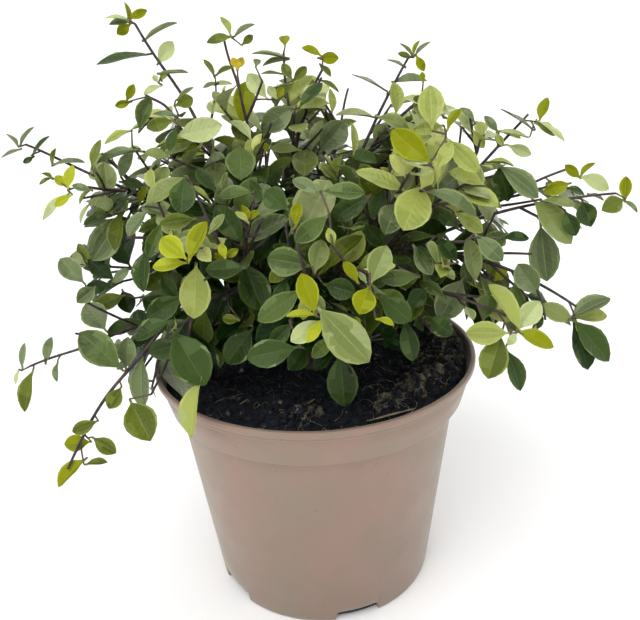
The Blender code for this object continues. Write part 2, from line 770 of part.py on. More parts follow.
def make_mass(name, stems, space, number, leaf_mesh, section, limbs, parts, loose, finish):
    """One mass of foliage: its stems, twigs and leaves joined into one solid."""
    draw = np.random.default_rng(MASS_SEED + number)
    twigs = make_twigs(name, stems, space, draw)
    wood = [welded_tube("%s_wood_%d" % (name, k), path, section, loose)
            for k, path in enumerate(stems + twigs)]
    trees = [solid_tree(thing) for thing in wood] + limbs
    stations = leaf_stations(stems, twigs, draw)
    for matrix in place_leaves(name, stations, trees, space, leaf_mesh, draw):
        leaf = link_mesh(name + "_leaf", leaf_mesh, loose)
        leaf.matrix_world = Matrix(matrix.tolist())
    stem = wood[0]
    loose.objects.unlink(stem)
    parts.objects.link(stem)
    join = stem.modifiers.new("Join", "BOOLEAN")
    join.operation = "UNION"
    join.operand_type = "COLLECTION"
    join.collection = loose
    join.solver = "EXACT"
    mesh = evaluated_mesh(stem)
    for thing in list(loose.objects) + [stem]:
        bpy.data.objects.remove(thing, do_unlink=True)
    keep_largest(mesh)
    mesh.materials.clear()
    link_mesh("foliage_" + name, mesh, parts, finish)


def main():
    clear_scene()
    parts = new_collection("potted_pittosporum")
    cutters = new_collection("cutters")
    loose = new_collection("loose_leaves")
    finishes = {name: material(name, *look) for name, look in FINISHES.items()}
    make_pot(parts, cutters, finishes["pot_plastic"])
    make_soil(parts, finishes["potting_soil"])

    paths = grow_limbs()
    trunk = paths["trunk"]
    tube("trunk", trunk, TRUNK_RESOLUTION, parts, finishes["bark"])
    boughs = {}
    stems = {}
    for limb in LIMBS:
        path = paths[limb.name]
        if limb.start == 1.0:
            start = end_start(path, trunk)
        else:
            start = clear_start(path, max(limb.bare, CLEAR_SHARE), [trunk, *boughs.values()])
        stem_start = start
        if limb.bare > 0:
            stem_start = limb.bare + GAP / path.length
            boughs[limb.name] = path.part(start, limb.bare, BOUGH_SPACING)
            tube("bough_" + limb.name, boughs[limb.name], BOUGH_RESOLUTION, parts,
                 finishes["bark"])
        stems[limb.name] = [path.part(stem_start, 1.0, STEM_SPACING)]
    for number, fork in enumerate(FORKS):
        path = paths[fork.limb]
        start = path.at(fork.start)
        tip = tip_point(fork.bearing, fork.reach, fork.height)
        crest = start[2] + FORK_CREST_SHARE * (tip[2] - start[2]) + FORK_CREST_RISE
        line = curved_path(start, tip, crest, FORK_SEED + number)
        stems[fork.limb].append(line.part(0, 1, STEM_SPACING))

    space = Space(stems, boughs, trunk)
    leaf_mesh = make_leaf_mesh()
    section = twig_section(cutters)
    limbs = []
    for path in space.limbs:
        thing = welded_tube("limb", path, section, loose)
        limbs.append(solid_tree(thing))
        bpy.data.objects.remove(thing, do_unlink=True)
    for number, limb in enumerate(LIMBS):
        finish = finishes["young_leaf" if limb.name in YOUNG else "leaf"]
        make_mass(limb.name, stems[limb.name], space, number, leaf_mesh, section, limbs,
                  parts, loose, finish)


main()
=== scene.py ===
"""Looks of a potted pom pom pittosporum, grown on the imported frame's own limbs.

Metres, +Z up, -Y the front. The limbs follow the same named sizes and the same rule as the
solids, and stems, side twigs and leaves grow on from them. Every surface is a grid of points
worked out with numpy from two parameters, or a section carried along a path.
"""

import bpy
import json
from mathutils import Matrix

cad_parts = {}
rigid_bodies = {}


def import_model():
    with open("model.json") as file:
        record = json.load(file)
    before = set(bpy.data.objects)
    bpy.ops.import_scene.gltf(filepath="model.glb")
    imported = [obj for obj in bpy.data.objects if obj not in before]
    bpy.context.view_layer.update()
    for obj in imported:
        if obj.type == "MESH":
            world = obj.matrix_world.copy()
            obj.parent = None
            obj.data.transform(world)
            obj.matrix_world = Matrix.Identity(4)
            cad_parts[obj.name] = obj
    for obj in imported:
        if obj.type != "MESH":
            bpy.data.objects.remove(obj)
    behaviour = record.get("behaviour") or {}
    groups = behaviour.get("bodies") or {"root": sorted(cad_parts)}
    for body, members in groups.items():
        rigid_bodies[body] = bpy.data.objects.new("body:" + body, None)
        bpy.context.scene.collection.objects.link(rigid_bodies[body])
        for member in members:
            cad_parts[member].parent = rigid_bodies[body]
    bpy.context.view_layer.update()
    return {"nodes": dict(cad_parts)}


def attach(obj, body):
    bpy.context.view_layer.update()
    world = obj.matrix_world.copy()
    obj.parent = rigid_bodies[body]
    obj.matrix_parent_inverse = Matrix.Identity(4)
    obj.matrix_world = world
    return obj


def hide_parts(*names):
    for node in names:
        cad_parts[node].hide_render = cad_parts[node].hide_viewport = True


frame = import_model()

import json
import math
from collections import namedtuple

import bpy
import numpy as np
from mathutils import Matrix, Vector
from mathutils.bvhtree import BVHTree
from mathutils.kdtree import KDTree

MM = 0.001
UP = np.array([0.0, 0.0, 1.0])
FRONT = np.array([0.0, -1.0, 0.0])

# Camera: the photograph's viewing angle, picture size and lens
CAMERA_PLACE = np.array([0.0038, -0.3689, 0.3089])
CAMERA_DROP = math.radians(22.74)
CAMERA_ROLL = math.radians(-2.71)
PICTURE_WIDTH = 640
PICTURE_HEIGHT = 620
FOCAL_PIXELS = 759.2
SENSOR = 36.0

# Pot and soil, as in the solids
POT_HEIGHT = 132 * MM
LIP_RADIUS = 85 * MM
LIP_DEPTH = 3 * MM
LIP_WALL = 2.4 * MM
COLLAR_HEIGHT = 21 * MM
COLLAR_FOOT_RADIUS = 79 * MM
WALL_TOP_RADIUS = 74.5 * MM
BASE_RADIUS = 60.5 * MM
POT_WALL = 1.5 * MM
POT_FLOOR = 2 * MM
NOTCH_COUNT = 5
NOTCH_BEARING = 16
NOTCH_WIDTH = 25 * MM
NOTCH_HEIGHT = 5 * MM
NOTCH_DEPTH = 11 * MM
NOTCH_ROUND = 2.5 * MM
SOIL_TOP = 122 * MM

# Details of the pot in the scene alone: offsets in mm out and up from the top of the lip, from
# the foot of the collar, from the top of the wall and from the foot of the wall
LIP_PROFILE = ((-2.4, -3), (-2.4, -0.7), (-2.15, -0.2), (-1.7, 0), (-0.7, 0), (-0.2, -0.25),
               (0, -0.7), (0, -2.6), (-0.2, -3))
COLLAR_TOP_INSET = 0.6 * MM
COLLAR_LINES = (4.8 * MM, 6.6 * MM)
COLLAR_LINE_DEPTH = 0.16 * MM
COLLAR_LINE_HALF = 0.25 * MM
COLLAR_PROFILE = ((0.1, 0.9), (0, 0.5), (-0.3, 0.1), (-0.9, -0.1))
WALL_TOP_PROFILE = ((0.9, -0.5), (0.15, -1.1), (-0.25, -2.2))
FOOT_PROFILE = ((0.35, 3), (0, 1.5), (-0.4, 0.5), (-1.2, 0.06), (-2.0, 0), (-11.0, 0), (-11.3, 0))
SECTION_STEP = 6 * MM
NOTCH_REACH = 12 * MM
NOTCH_EDGE = np.array([-0.003, 0.0, 0.003, 0.008, 0.018, 0.030, 0.042])
POT_BOW = 0.12 * MM

# Soil in the scene: its foot, its grid, and how far from the axis things lie on it
SOIL_FOOT = POT_FLOOR + 0.3 * MM
SOIL_GRID = 230
SOIL_RINGS = (114 * MM, 109 * MM, 60 * MM, SOIL_FOOT)
BANK_BEARING = math.radians(-8)
CRUMB_REACH = 77 * MM
FIBRE_START = 76 * MM
FIBRE_REACH = 78.5 * MM
CHIP_REACH = 79 * MM
CRUMB_COUNT = 2400
FIBRE_COUNT = 460
CRUMB_SEED = 31
FIBRE_SEED = 57
CHIP_SEED = 83

# Dry brown clods: place in the picture, spread, and how many crumbs they have
CLODS = (((455, 340), 8 * MM, 240), ((449, 353), 8 * MM, 280), ((441, 366), 8 * MM, 280),
         ((430, 379), 7 * MM, 240), ((414, 390), 6 * MM, 190), ((388, 403), 5 * MM, 170),
         ((302, 416), 4 * MM, 60))

# Chips of wood: their two ends in the picture, and half their thickness in mm
CHIPS = ((367, 421, 416, 408, 0.6), (306, 404, 315, 399, 0.35), (433, 372, 443, 364, 0.4),
         (240, 404, 248, 399, 0.3))

# Dry leaf: the bearing where it leans on the lip, its two ends and its width in the picture
DRY_LEAF_BEARING = math.radians(186)
DRY_LEAF_TOP = (162, 363)
DRY_LEAF_FOOT = (186, 396)
DRY_LEAF_WIDTH = 16
DRY_LEAF_INSET = 2.2 * MM
DRY_LEAF_RISE = 1.5 * MM
DRY_LEAF_LIFT = 3.5 * MM

# Trunk, as in the solids
GAP = 0.3 * MM
TRUNK_HEIGHT = 44 * MM
TRUNK_FOOT_RADIUS = 4.6 * MM
TRUNK_TOP_RADIUS = 2.3 * MM
TRUNK_FLARE = 2.6 * MM
TRUNK_FLARE_SHARE = 0.09
TRUNK_LEAN = (-4 * MM, 3 * MM)
TRUNK_UPRIGHT_SHARE = 0.12
TRUNK_BEND_POWER = 1.5

# Boughs, stems and twigs, as in the solids
BOUGH_RADIUS = 2.0 * MM
FORK_BOUGH_RADIUS = 1.5 * MM
STEM_RADIUS = 1.0 * MM
FORK_STEM_RADIUS = 0.85 * MM
STEM_TIP_RADIUS = 0.6 * MM
TWIG_RADIUS = 0.75 * MM
CURVE_POINTS = 41
CONTROL_SHARE = 0.45
WAVER_SHARE = 0.011
WAVER_TURNS = (1.6, 2.6)
WAVER_RISE = 0.5
TIP_REACH = 8 * MM
LIMB_SEED = 100
FORK_SEED = 200
FORK_CREST_SHARE = 0.6
FORK_CREST_RISE = 4 * MM
TAPER_SHARE = 0.2
TWIG_HEADING = (0.62, 0.78, 0.25)
TWIG_LIFT = 1.5 * MM
SPIRAL = 137.5
MASS_SEED = 500

# A limb's rule: where it leaves its parent, and where its last leaves reach to, in degrees and
# mm from the foot of the trunk. Crest is the height its curve is drawn up to, bare the share
# of its length that is bough.
Limb = namedtuple("Limb", "name parent start bearing reach height crest bare")
LIMBS = [
    Limb("top_mid", "trunk", 1.00, -169, 46, 166, 95, 0.34),
    Limb("tall_left", "trunk", 0.84, -97, 80, 184, 104, 0.36),
    Limb("top_right", "trunk", 0.82, 121, 68, 160, 112, 0.34),
    Limb("far_left", "trunk", 0.68, -96, 147, 126, 94, 0.36),
    Limb("right_far", "trunk", 0.74, 91, 163, 87, 88, 0.40),
    Limb("front_right_mid", "trunk", 0.62, 43, 103, 90, 84, 0.40),
    Limb("front_centre", "trunk", 0.52, 0, 112, 82, 78, 0.36),
    Limb("left_leafy", "trunk", 0.58, -54, 103, 95, 86, 0.38),
    Limb("back", "trunk", 0.62, 172, 128, 88, 86, 0.36),
    Limb("back_right", "trunk", 0.46, 133, 132, 96, 84, 0.34),
    Limb("back_left", "trunk", 0.50, -132, 130, 108, 88, 0.36),
    Limb("left_low", "trunk", 0.38, -92, 124, 62, 62, 0.38),
    Limb("low_front", "trunk", 0.30, 14, 78, 26, 42, 0.28),
    Limb("low_back", "trunk", 0.34, -172, 80, 34, 50, 0.00),
    Limb("right_mid", "right_far", 0.26, 80, 118, 64, 66, 0.28),
    Limb("right_up", "right_far", 0.36, 97, 118, 132, 96, 0.22),
    Limb("front_right_low", "front_right_mid", 0.24, 50, 117, 53, 68, 0.24),
    Limb("front_upper_right", "front_right_mid", 0.34, 36, 84, 125, 98, 0.22),
    Limb("right_low", "right_mid", 0.18, 66, 138, 46, 76, 0.24),
    Limb("front_right_rosette", "front_centre", 0.30, 14, 107, 88, 84, 0.24),
    Limb("front_left_rosette", "left_leafy", 0.22, -25, 109, 100, 88, 0.24),
    Limb("left_front_low", "left_leafy", 0.32, -41, 104, 49, 66, 0.24),
    Limb("droop_left", "left_low", 0.22, -61, 140, -22, 76, 0.26),
    Limb("low_left_far", "left_low", 0.30, -80, 153, 17, 38, 0.24),
    Limb("yellow_tip", "tall_left", 0.24, -104, 32, 159, 112, 0.22),
    Limb("top_mid_left", "back_left", 0.24, -142, 66, 175, 118, 0.22),
    Limb("back_low_left", "back_left", 0.25, -160, 122, 46, 60, 0.24),
    Limb("back_high", "back", 0.26, 160, 82, 142, 108, 0.22),
    Limb("back_low_right", "back_right", 0.26, 153, 126, 44, 62, 0.24),
]

# Forks of the limbs: the limb they leave, the share of its length, and their tips
Fork = namedtuple("Fork", "limb start bearing reach height")
FORKS = [
    Fork("top_mid", 0.52, 146, 26, 158),
    Fork("tall_left", 0.56, -112, 92, 145),
    Fork("top_right", 0.52, 92, 64, 142),
    Fork("far_left", 0.58, -80, 116, 108),
    Fork("right_far", 0.56, 96, 143, 100),
    Fork("right_up", 0.52, 111, 104, 116),
    Fork("front_left_rosette", 0.50, -16, 76, 106),
    Fork("front_centre", 0.50, -8, 86, 92),
    Fork("back_right", 0.56, 112, 122, 62),
    Fork("front_right_mid", 0.56, 54, 92, 112),
]

# Masses whose leaves are young, and a yellower green
YOUNG = ("front_left_rosette", "front_centre", "front_right_rosette", "yellow_tip")

# Side twigs of stems and boughs, by share of length, and their lengths
STEM_TWIG_SHARES = (0.10, 0.22, 0.36, 0.52, 0.68)
BOUGH_TWIG_SHARES = (0.45, 0.62, 0.82)
TWIG_LENGTH_SHARES = (0.20, 0.22)
TWIG_LENGTH_RANGE = (0.75, 1.1)
TWIG_EXTRA_LENGTH = 6 * MM
BOUGH_TWIG_LENGTH = (20 * MM, 34 * MM)
TWIG_POINTS = 9
TWIG_TURNS = (0, 40, -40, 80, -80, 120, -120)
TWIG_SWAY = 0.06

# Leaves: lengths from a shoot's tip inwards, and where they sit on it
YOUNGEST_LEAF = 9.5 * MM
OLDEST_LEAF = 27 * MM
GROWN_AFTER = 62 * MM
LEAF_SPACING = 9 * MM
ROSETTE_SPACING = 1.2 * MM
LEAF_STALK_SHARE = 0.15

# How a leaf stands: its lean off the stem in degrees, the shares of what it faces, and the
# turns round the stem and the sizes that it tries
LEAF_LEAN = (46, 70)
ROSETTE_LEAN = (26, 46)
UP_SHARE = 0.68
OUTWARD_SHARE = 0.45
AHEAD_SHARE = 0.1
FRONT_SHARE = 0.32
FACING_WAVER = 0.15
LEAF_TURNS = (0, 28, -28, 58, -58, 90, -90, 130, -130)
LEAF_SIZES = (1.0, 0.8, 0.62)

# A leaf's own form, as ranges of draws
LEAF_WIDTH = (0.56, 0.68)
LEAF_CUP = (0.10, 0.50)
LEAF_ARCH = (0.05, 0.45)
LEAF_WAVE = (0.004, 0.020)
LEAF_TWIST = (-0.22, 0.22)

# Leaf shape: rows along it, from the foot of the stalk to the point, and columns across it
LEAF_ROWS = np.array([-LEAF_STALK_SHARE, -0.02, 0.08, 0.24, 0.42, 0.60, 0.77, 0.91, 1.0])
LEAF_COLUMNS = np.array([-1.0, -0.84, -0.46, -0.035, 0.035, 0.46, 0.84, 1.0])
LEAF_FULLNESS = 3.05
LEAF_FOOT_POWER = 0.84
LEAF_POINT_POWER = 0.76
CUP_POWER = 1.2
STALK_HALF = 0.5 * MM
POINT_HALF = 0.25 * MM
RIB_SINK = 0.12 * MM

# Coarse grids of a leaf, to find what it would cut and what it would hide
PROXY_ROWS = np.array([0.14, 0.45, 0.75, 1.0])
PROXY_COLUMNS = np.array([-1.0, 0.0, 1.0])
PROXY_FACES = [(r * 3 + c, r * 3 + c + 3, r * 3 + c + 4, r * 3 + c + 1)
               for r in range(3) for c in range(2)]
PROXY_MIDDLE = 4
PROXY_TIP = 10
HIDING_ROWS = np.array([-0.1, 0.06, 0.2, 0.36, 0.52, 0.68, 0.84, 1.0])
HIDING_COLUMNS = np.array([-1.0, -0.5, 0.0, 0.5, 1.0])

# Room that leaves and twigs keep over the soil and round the lip, and round a line of sight
OVER_SOIL = 2.5 * MM
BESIDE_LIP = 1.5 * MM
NEAR_RAY = 34 * MM

# The crown's middle and half sizes, and how light falls on it by place, which is painted into its
# leaves' shades as painted light and painted shade
CROWN_MIDDLE = np.array([0, 0, SOIL_TOP + 60 * MM])
CROWN_HALVES = np.array([0.15, 0.13, 0.12])
CROWN_HEIGHT = 160 * MM
LIGHT_OUTER = 0.25
LIGHT_UPPER = 0.75
LIGHT_RIGHT = 0.12
LIGHT_RIGHT_REACH = 90 * MM


def srgb(red, green, blue):
    """A linear colour from screen values of 0 to 255."""
    shares = np.array([red, green, blue]) / 255
    linear = np.where(shares <= 0.04045, shares / 12.92, ((shares + 0.055) / 1.055) ** 2.4)
    return (*[float(value) for value in linear], 1.0)


# Leaves that stand out in the photograph: where the blade starts and ends in the picture and its
# apparent width, in pixels, and its shade, as the leaf looks there, with the light and shade that
# fall on it painted in. Each grows from the stem nearest to it there.
Seen = namedtuple("Seen", "base_x base_y tip_x tip_y width shade")
SEEN = [Seen(*row) for row in (
    # front left rosette and its neighbours
    (196, 269, 194, 319, 31, "light"), (184, 257, 159, 237, 23, "yellow"),
    (183, 263, 151, 265, 14, "yellow"), (190, 258, 206, 221, 17, "lime"),
    (225, 257, 220, 243, 9, "yellow"), (226, 257, 238, 249, 8, "lime"),
    (225, 258, 213, 254, 8, "lime"), (248, 221, 242, 205, 7, "lime"),
    (248, 221, 259, 210, 7, "lime"), (248, 222, 236, 210, 6, "light"),
    (241, 241, 215, 204, 25, "dark"), (243, 243, 288, 214, 22, "grey"),
    (245, 266, 263, 311, 32, "dark"), (242, 268, 205, 270, 20, "dark"),
    (306, 265, 265, 258, 30, "mid"), (325, 218, 295, 242, 21, "mid"),
    (298, 292, 257, 322, 26, "mid"), (240, 148, 241, 178, 30, "mid"),
    (306, 150, 304, 177, 26, "fresh"), (182, 179, 150, 200, 17, "fresh"),
    (184, 180, 181, 213, 26, "dark"), (192, 219, 160, 224, 17, "olive"),
    (250, 192, 217, 195, 13, "mid"), (286, 208, 262, 188, 24, "dark"),
    # front centre and front right rosettes
    (314, 310, 301, 273, 22, "lime"), (313, 314, 286, 315, 9, "yellow"),
    (315, 270, 322, 239, 21, "fresh"), (322, 312, 370, 363, 40, "fresh"),
    (321, 322, 290, 342, 20, "pale"), (323, 320, 306, 342, 12, "yellow"),
    (372, 280, 387, 245, 25, "fresh"), (368, 289, 360, 313, 24, "lime"),
    (357, 281, 344, 261, 11, "lime"), (366, 282, 358, 271, 6, "pale"),
    (378, 319, 395, 324, 7, "yellow"), (323, 270, 362, 235, 20, "olive"),
    (384, 247, 366, 226, 17, "dark"), (415, 277, 380, 279, 17, "mid"),
    (415, 248, 432, 275, 17, "grey"), (327, 285, 355, 293, 22, "dark"),
    (383, 298, 411, 322, 25, "dark"), (425, 290, 409, 306, 18, "deep"),
    # upper middle
    (422, 188, 403, 231, 37, "light"), (403, 190, 357, 167, 17, "light"),
    (326, 191, 365, 192, 17, "mid"), (366, 198, 332, 219, 22, "dark"),
    (383, 191, 373, 217, 18, "dark"), (396, 205, 385, 235, 27, "grey"),
    (431, 236, 399, 237, 10, "mid"), (430, 192, 479, 213, 15, "grey"),
    (457, 214, 483, 232, 16, "light"), (427, 160, 391, 130, 27, "lime"),
    (432, 168, 402, 159, 11, "pale"), (438, 167, 452, 142, 15, "light"),
    (450, 142, 479, 172, 21, "light"), (448, 128, 460, 108, 9, "lime"),
    (472, 133, 458, 112, 11, "pale"), (474, 121, 461, 107, 6, "grey"),
    (474, 132, 484, 148, 11, "light"), (432, 125, 430, 84, 26, "light"),
    (440, 126, 414, 130, 13, "light"), (380, 117, 411, 127, 13, "fresh"),
    (396, 112, 394, 82, 14, "light"), (396, 81, 427, 79, 7, "grey"),
    (348, 155, 379, 159, 12, "dark"), (380, 134, 391, 150, 10, "dark"),
    # variegated shoot, low front and low right
    (475, 279, 470, 237, 19, "fresh"), (461, 282, 439, 320, 30, "grey"),
    (340, 357, 345, 408, 31, "dark"), (250, 332, 226, 365, 27, "dark"),
    (293, 348, 246, 358, 28, "dark"), (304, 350, 290, 368, 22, "deep"),
    (175, 335, 206, 386, 40, "dark"), (199, 384, 184, 438, 19, "light"),
    (405, 324, 414, 362, 19, "dark"), (430, 318, 452, 334, 20, "dark"),
    (505, 333, 466, 333, 24, "light"), (519, 332, 555, 346, 16, "lime"),
    (516, 334, 508, 345, 9, "pale"), (500, 338, 488, 379, 29, "olive"),
    (508, 353, 524, 391, 18, "dark"), (519, 328, 489, 284, 18, "light"),
    (520, 327, 540, 301, 22, "pale"), (495, 280, 507, 269, 10, "lime"),
    (490, 275, 495, 256, 16, "olive"), (478, 237, 503, 261, 19, "grey"),
    (537, 293, 518, 264, 25, "grey"), (541, 229, 547, 282, 30, "grey"),
    (505, 238, 530, 236, 11, "deep"), (519, 292, 507, 289, 5, "dark"),
    (484, 318, 490, 292, 21, "mid"), (443, 296, 420, 280, 12, "mid"),
    # far right
    (572, 320, 541, 305, 18, "fresh"), (573, 317, 610, 294, 18, "grey"),
    (577, 318, 608, 314, 15, "light"), (576, 322, 586, 334, 10, "yellow"),
    (574, 323, 592, 370, 22, "deep"), (577, 324, 610, 361, 24, "dark"),
    (536, 203, 573, 243, 27, "fresh"), (500, 168, 508, 201, 25, "dark"),
    (502, 168, 542, 195, 20, "grey"), (481, 184, 450, 170, 15, "light"),
    (583, 203, 591, 226, 20, "dark"), (566, 213, 576, 236, 17, "dark"),
    (622, 200, 601, 211, 18, "olive"), (625, 199, 626, 176, 12, "lime"),
    (625, 201, 638, 212, 5, "grey"), (582, 177, 611, 188, 15, "pale"),
    (579, 177, 565, 165, 10, "lime"), (581, 175, 594, 161, 6, "lime"),
    (568, 184, 544, 192, 14, "lime"), (567, 188, 586, 193, 8, "dark"),
    (590, 194, 605, 199, 4, "grey"), (540, 119, 547, 97, 11, "lime"),
    (537, 124, 557, 134, 10, "light"), (540, 122, 566, 140, 5, "pale"),
    (531, 127, 502, 107, 3, "grey"), (510, 146, 532, 155, 12, "pale"),
    (526, 136, 501, 131, 5, "pale"), (497, 131, 485, 115, 9, "grey"),
    (500, 131, 522, 136, 6, "lime"), (497, 134, 503, 146, 7, "light"),
    # top
    (230, 33, 221, 16, 7, "light"), (230, 37, 206, 41, 10, "olive"),
    (235, 35, 254, 23, 3, "grey"), (243, 44, 253, 35, 8, "olive"),
    (285, 57, 252, 49, 4, "fresh"), (286, 59, 262, 63, 3, "grey"),
    (285, 45, 284, 33, 11, "lime"), (320, 55, 302, 47, 8, "lime"),
    (320, 58, 339, 58, 12, "lime"), (321, 65, 331, 76, 6, "olive"),
    (291, 78, 282, 63, 10, "olive"), (294, 80, 307, 66, 10, "olive"),
    (280, 73, 261, 72, 3, "olive"), (265, 96, 247, 73, 17, "pale"),
    (242, 122, 246, 80, 22, "lime"), (288, 104, 311, 73, 13, "light"),
    (292, 108, 261, 130, 24, "grey"), (294, 108, 329, 100, 12, "light"),
    (301, 105, 322, 82, 12, "dark"), (321, 80, 340, 90, 5, "olive"),
    (322, 150, 346, 120, 27, "grey"), (312, 147, 322, 120, 13, "pale"),
    (237, 68, 232, 57, 8, "amber"), (238, 68, 243, 57, 8, "amber"),
    (237, 69, 237, 58, 8, "amber"), (256, 66, 258, 57, 8, "grey"),
    (212, 113, 209, 102, 8, "pale"), (213, 113, 216, 103, 7, "pale"),
    (276, 98, 268, 86, 9, "pale"), (277, 98, 283, 87, 8, "lime"),
    (413, 54, 419, 40, 4, "lime"), (412, 54, 401, 42, 4, "olive"),
    (416, 53, 430, 41, 2, "grey"), (411, 57, 398, 53, 6, "olive"),
    (417, 57, 424, 71, 9, "lime"), (404, 66, 388, 57, 3, "grey"),
    (383, 88, 353, 71, 3, "grey"), (423, 81, 422, 72, 6, "lime"),
    # tall left shoot and the upper left
    (129, 20, 125, 2, 5, "lime"), (130, 18, 147, 10, 9, "lime"),
    (128, 19, 104, 14, 4, "pale"), (129, 22, 109, 24, 7, "grey"),
    (129, 25, 117, 34, 11, "lime"), (146, 38, 175, 18, 3, "grey"),
    (145, 54, 96, 63, 6, "dark"), (159, 62, 173, 41, 15, "pale"),
    (161, 73, 188, 71, 4, "grey"), (158, 82, 153, 75, 6, "pale"),
    (160, 86, 143, 94, 7, "pale"), (162, 80, 165, 70, 7, "light"),
    (127, 100, 134, 84, 9, "lime"), (130, 102, 115, 106, 8, "lime"),
    (140, 128, 149, 95, 16, "mid"), (171, 121, 146, 128, 14, "olive"),
    (176, 129, 168, 150, 10, "dark"), (175, 115, 153, 113, 5, "grey"),
    (177, 105, 193, 98, 14, "olive"), (178, 98, 192, 85, 4, "grey"),
    (180, 135, 222, 125, 24, "pale"), (214, 75, 205, 58, 6, "olive"),
    (217, 74, 233, 65, 5, "olive"), (217, 83, 203, 87, 4, "grey"),
    (213, 84, 232, 83, 5, "pale"), (128, 131, 102, 141, 8, "light"),
    (134, 150, 95, 160, 7, "grey"), (133, 151, 118, 176, 12, "grey"),
    # far left shoot and its yellow rosette
    (18, 145, 7, 133, 3, "grey"), (19, 149, 1, 157, 3, "grey"),
    (20, 144, 31, 125, 2, "grey"), (33, 153, 48, 135, 4, "dark"),
    (33, 157, 23, 163, 6, "dark"), (52, 164, 55, 148, 5, "olive"),
    (56, 163, 84, 159, 4, "grey"), (68, 187, 71, 164, 11, "yellow"),
    (66, 186, 55, 176, 10, "yellow"), (66, 195, 39, 217, 8, "pale"),
    (70, 196, 54, 206, 9, "yellow"), (52, 178, 42, 172, 4, "olive"),
    (50, 178, 38, 183, 4, "olive"), (88, 205, 78, 222, 5, "pale"),
    (92, 165, 99, 139, 10, "olive"), (108, 196, 104, 161, 21, "fresh"),
    (90, 190, 72, 185, 8, "grey"), (140, 203, 144, 187, 8, "lime"),
    (147, 203, 182, 179, 17, "fresh"), (122, 182, 143, 185, 11, "dark"),
    # left and low left
    (120, 218, 91, 262, 30, "grey"), (121, 214, 114, 250, 15, "olive"),
    (146, 212, 127, 236, 13, "grey"), (112, 278, 87, 259, 18, "deep"),
    (82, 281, 59, 258, 21, "grey"), (94, 288, 79, 301, 16, "grey"),
    (104, 328, 84, 301, 26, "grey"), (122, 296, 95, 306, 16, "olive"),
    (123, 292, 130, 312, 18, "deep"), (146, 252, 142, 292, 18, "dark"),
    (113, 283, 128, 268, 10, "grey"), (143, 322, 106, 331, 15, "dark"),
    (118, 366, 78, 331, 32, "mid"), (126, 366, 128, 337, 18, "grey"),
    (180, 298, 146, 319, 24, "dark"), (168, 322, 133, 338, 17, "dark"),
    (181, 344, 148, 353, 22, "dark"), (155, 250, 150, 228, 19, "deep"),
    (142, 361, 138, 409, 20, "grey"), (120, 389, 109, 408, 16, "olive"),
    (132, 404, 149, 438, 32, "olive"), (95, 422, 72, 432, 14, "olive"),
    (88, 442, 64, 444, 17, "lime"), (95, 439, 116, 453, 16, "olive"),
    (87, 464, 107, 461, 7, "olive"), (83, 461, 56, 486, 15, "lime"),
    (22, 367, 23, 343, 6, "grey"), (18, 371, 15, 384, 4, "pale"),
    (32, 373, 22, 412, 13, "olive"), (46, 361, 51, 337, 10, "grey"),
    (57, 364, 55, 382, 6, "grey"),
    # smaller ones between those
    (354, 152, 353, 122, 8, "light"), (372, 116, 336, 110, 6, "soft"),
    (298, 150, 270, 147, 10, "fresh"), (318, 192, 293, 177, 13, "grey"),
    (268, 152, 264, 142, 6, "lime"), (214, 190, 196, 168, 14, "dark"),
    (262, 200, 250, 180, 12, "dark"), (332, 112, 331, 88, 8, "light"),
    (176, 297, 162, 277, 14, "dark"), (226, 288, 214, 322, 24, "deep"),
    (290, 325, 270, 346, 17, "dark"), (238, 320, 222, 318, 10, "olive"),
    (456, 226, 438, 212, 13, "dark"),
    (456, 260, 440, 240, 16, "deep"), (250, 138, 232, 118, 10, "pale"),
    (160, 226, 148, 258, 17, "mid"),
    (352, 206, 340, 190, 10, "mid"), (282, 168, 270, 186, 11, "dark"),
    (210, 232, 224, 214, 10, "fresh"), (430, 262, 418, 246, 10, "dark"),
    # These two cover the trunk's foot; the second is a painted shadow, a near-black leaf set where
    # there is only shade
    (332, 338, 312, 358, 15, "moss"), (336, 350, 313, 369, 14, "shadow"),
)]

# Outline of the dense crown in the picture, in pixels: past it only the leaves above stand
CROWN_OUTLINE = np.array([
    (78, 200), (100, 150), (128, 118), (160, 108), (198, 92), (232, 84), (270, 80), (318, 74),
    (345, 96), (380, 106), (420, 90), (462, 108), (500, 132), (512, 160), (545, 178), (590, 196),
    (584, 228), (560, 250), (548, 285), (600, 300), (612, 345), (586, 352), (548, 318),
    (520, 356), (488, 350), (470, 328), (430, 336), (398, 350), (368, 346), (318, 352),
    (262, 350), (226, 372), (196, 378), (160, 396), (140, 400), (112, 362), (74, 338),
    (78, 300), (92, 276), (66, 262), (84, 232)])

# Gaps of open sky inside that outline: middles and radii in pixels
SKY_GAPS = np.array([
    (128, 165, 9), (135, 242, 4), (123, 264, 8), (130, 284, 5), (112, 316, 9), (153, 285, 4),
    (148, 142, 6), (222, 133, 6), (262, 100, 6), (250, 124, 6), (281, 134, 6), (200, 112, 7),
    (344, 108, 9), (372, 112, 12), (403, 108, 6), (362, 134, 9), (466, 146, 7), (490, 152, 9),
    (520, 188, 14), (536, 172, 12), (512, 214, 7), (512, 250, 9), (518, 276, 9), (460, 262, 6),
    (452, 233, 4), (446, 185, 3), (456, 248, 3), (548, 214, 7), (530, 222, 7), (455, 318, 6),
    (560, 290, 14), (480, 176, 6), (445, 128, 6), (182, 100, 8), (160, 128, 5), (98, 186, 6),
    (118, 148, 6), (96, 240, 5)])

